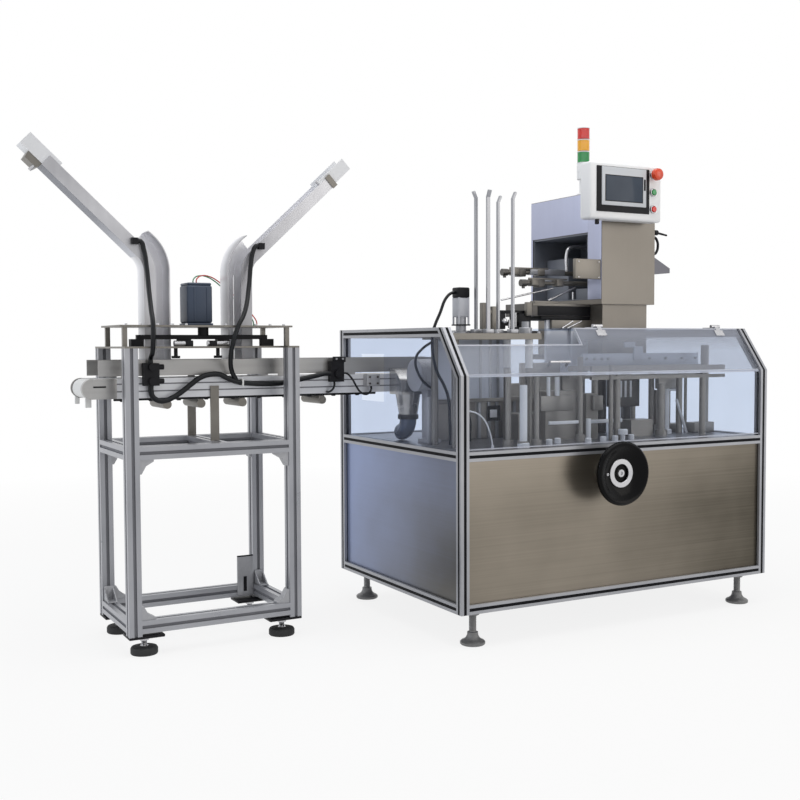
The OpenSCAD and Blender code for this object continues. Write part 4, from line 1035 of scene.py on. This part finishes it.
inner_edge = arc(98, bend_back, (0, 0.2, 0.4, 0.6, 0.82))
flare = arc(153, 69, (0.97, 0.75, 0.5, 0.25, 0))
mesh = bmesh.new()
for left in (True, False):
    wall = [mirrored(left, x, z) for x, z in inner_edge + [(-12, 1269)] + flare]
    extruded(mesh, wall, *deep_bar(0, (648.4, 650.6), 0))
piece("chute_back_walls", mesh, satin_sheet_painted_light)
left_clamp = [(42, 394), (63, 388), (63, 442), (42, 438)]
right_clamp = [(56, 378), (102, 378), (102, 398), (56, 398)]
mesh = bmesh.new()
extruded(mesh, [chute_point(True, *at) for at in left_clamp], *deep_bar(0, (584, 646), 0))
extruded(mesh, [chute_point(False, *at) for at in right_clamp], *deep_bar(0, (575, 579), 0))
piece("chute_clamps", mesh, worn_steel)
# Thin skins under the chutes carry painted shade: dark under the left chute's lower end, light further right.
underside_painted_shade = metal("chute_underside_painted_shade", (98, 101, 112), (204, 206, 214), (40, 40, 6), 0.4, 0.2, 0.0, 0.2,
                    [("X", -1.02, -0.89, 0.9)], cloud=0.3, base=0.15)
underside = [(59.4, 4), (60.1, 4), (60.1, 389), (59.4, 389)]
mesh = bmesh.new()
for left in (True, False):
    extruded(mesh, [chute_point(left, *at) for at in underside], *deep_bar(0, (579.4, 650.6), 0))
piece("chute_underside_shade_skins", mesh, underside_painted_shade)
feeder_top = 1010
mesh = bmesh.new()
for left, low, high, along in [(True, 24, 43, 402), (False, 97, 113, 350)]:
    x, z = chute_point(left, low, along)
    x_top, z_top = chute_point(left, high, along)
    rod(mesh, (x, x_top), 590, (z, z_top), 11, 12)
for x in (-890, -846, -790, -744, -700, -570, -524, -470, -420, -372):
    screw(mesh, (x, 497, feeder_top), to_top, 9)
rod(mesh, (-737, -682), 508, 953, 18)
rod(mesh, (-629, -559), 508, 953, 18)
piece("feeder_bolts_and_cylinders", mesh, bright_steel)
mesh = bmesh.new()
slab(mesh, (-672, -586), (572, 658), (feeder_top, 1018), 2)
slab(mesh, (-671, -587), (573, 657), (1018, 1140), 7)
slab(mesh, (-669, -589), (575, 655), (1139, 1148), 5)
for x in (-650, -608):
    slab(mesh, (x, x + 5), (571.6, 574), (1024, 1134), 1)
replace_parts(piece("stepper_motor", mesh, stepper_paint), "feeder_motor")
dress(black_plastic, "escapement", "junction_blocks")
mesh = bmesh.new()
for x in (-728, -590):
    rod(mesh, x, 520, (908, 938.2), 12, 16)
    rod(mesh, x, 520, (906, 914), 28, 8)
for x in (-690, -612):
    slab(mesh, (x - 12, x + 12), (496, 520), (944, 962), 2)
for z in (836, 880):
    rod(mesh, (-784.5, -768), 520, z, 17, 18)
    rod(mesh, -808, (509.2, 500), z, 22, 18)
slab(mesh, (-188, -140), (511, 517), (888, 907), 2)
rod(mesh, -172, (509.2, 498), 850, 26, 18)
piece("connector_knobs", mesh, black_plastic)
mesh = bmesh.new()
slab(mesh, (-62.6, -13.4), (504.4, 535), (804.4, 845.6), 1.5)
for x in (-176, -152):
    screw(mesh, (x, 511, 899), to_front, 7)
piece("grey_valve_block", mesh, gusset_cast)
mesh = bmesh.new()
for x in (-53, -23):
    for z in (814, 836):
        screw(mesh, (x, 504.4, z), to_front, 7)
piece("valve_screws", mesh, dark_steel)


# The wiring is black cable clipped along the feeder, the lift and the tower. Two thin leads, one
# green and one red, arch from the stepper's top down to the feeder plate.

cable_skin = gloss("black_cable_skin", (18, 20, 23), (30, 32, 36), 0.38, shine=0.25)
routes = [
    ("left_chute_cable", 15, [
        (-829, 570, 1272), (-821, 570, 1272), (-811, 568, 1246), (-805, 560, 1190), (-806, 536, 1120),
        (-810, 500, 1056), (-813, 472, 1012), (-815, 468, 950), (-812, 486, 925), (-808, 516, 912),
        (-808, 522, 904), (-808, 522, 892)]),
    ("right_chute_cable", 15, [
        (-429, 570, 1272), (-437, 570, 1272), (-449, 568, 1250), (-459, 560, 1214), (-476, 536, 1138),
        (-512, 488, 1046), (-538, 472, 1008), (-560, 468, 944), (-560, 486, 900), (-549, 506, 864),
        (-529, 514, 830)]),
    ("conveyor_cable_bundle", 17, [
        (-808, 522, 822), (-808, 522, 805), (-804, 518, 788), (-789, 514, 776), (-769, 512, 774),
        (-742, 512, 784), (-712, 512, 802), (-683, 511, 824), (-654, 510, 844), (-621, 510, 854),
        (-590, 511, 854), (-563, 513, 842), (-529, 514, 829), (-485, 514, 823), (-433, 514, 820),
        (-380, 514, 821), (-319, 514, 831), (-253, 515, 843), (-215, 516, 850), (-196, 516, 850)]),
    ("sensor_cable", 7, [
        (-148, 518, 850), (-136, 518, 850), (-115, 515, 830), (-100, 515, 806), (-85, 515, 786),
        (-65, 516, 777), (-48, 518, 782), (-40, 520, 795), (-40, 520, 805)]),
    ("drop_cable", 7, [
        (-180, 520, 822), (-180, 520, 810), (-188, 518, 796), (-200, 521, 788), (-202, 527, 788),
        (-202, 535, 788)]),
    ("lift_cable", 10, [
        (143, 260, 1117), (131, 260, 1117), (104, 256, 1100), (76, 250, 1050), (48, 247, 990), (44, 247, 940),
        (54, 252, 890), (74, 262, 850), (100, 270, 815), (122, 276, 770), (130, 280, 700), (132, 280, 640),
        (132, 280, deck)]),
    ("tower_cable", 10, [
        (1069, 352, 1345), (1080, 352, 1345), (1092, 352, 1332), (1095, 352, 1312), (1090, 352, 1294),
        (1080, 352, 1284), (1069, 352, 1284)]),
    ("drive_cable_loop", 9, [
        (112, 337, 966), (96, 341, 954), (63, 345, 932), (38, 345, 900), (47, 345, 850), (86, 347, 808),
        (150, 352, 786), (210, 353, 768), (252, 353, 700), (256, 353, 611)]),
]
cables = [tube(name, points, width, cable_skin) for name, width, points in routes]
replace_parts(cables[0], "cables")

lead_points = [(-622, 630, 1148), (-622, 630, 1158), (-614, 636, 1168), (-596, 648, 1175), (-566, 664, 1174),
               (-536, 674, 1162), (-495, 678, 1130), (-448, 674, 1086), (-415, 662, 1046), (-404, 656, 1024),
               (-404, 656, 1010)]
green_wire = gloss("green_wire", (18, 120, 70), (30, 140, 86), 0.4)
red_wire = gloss("red_wire", (190, 40, 34), (206, 56, 46), 0.4)
green_lead = tube("green_motor_lead", [(x - 7, y + 12, z) for x, y, z in lead_points], 4, green_wire)
tube("red_motor_lead", lead_points, 4, red_wire)
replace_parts(green_lead, "motor_leads")
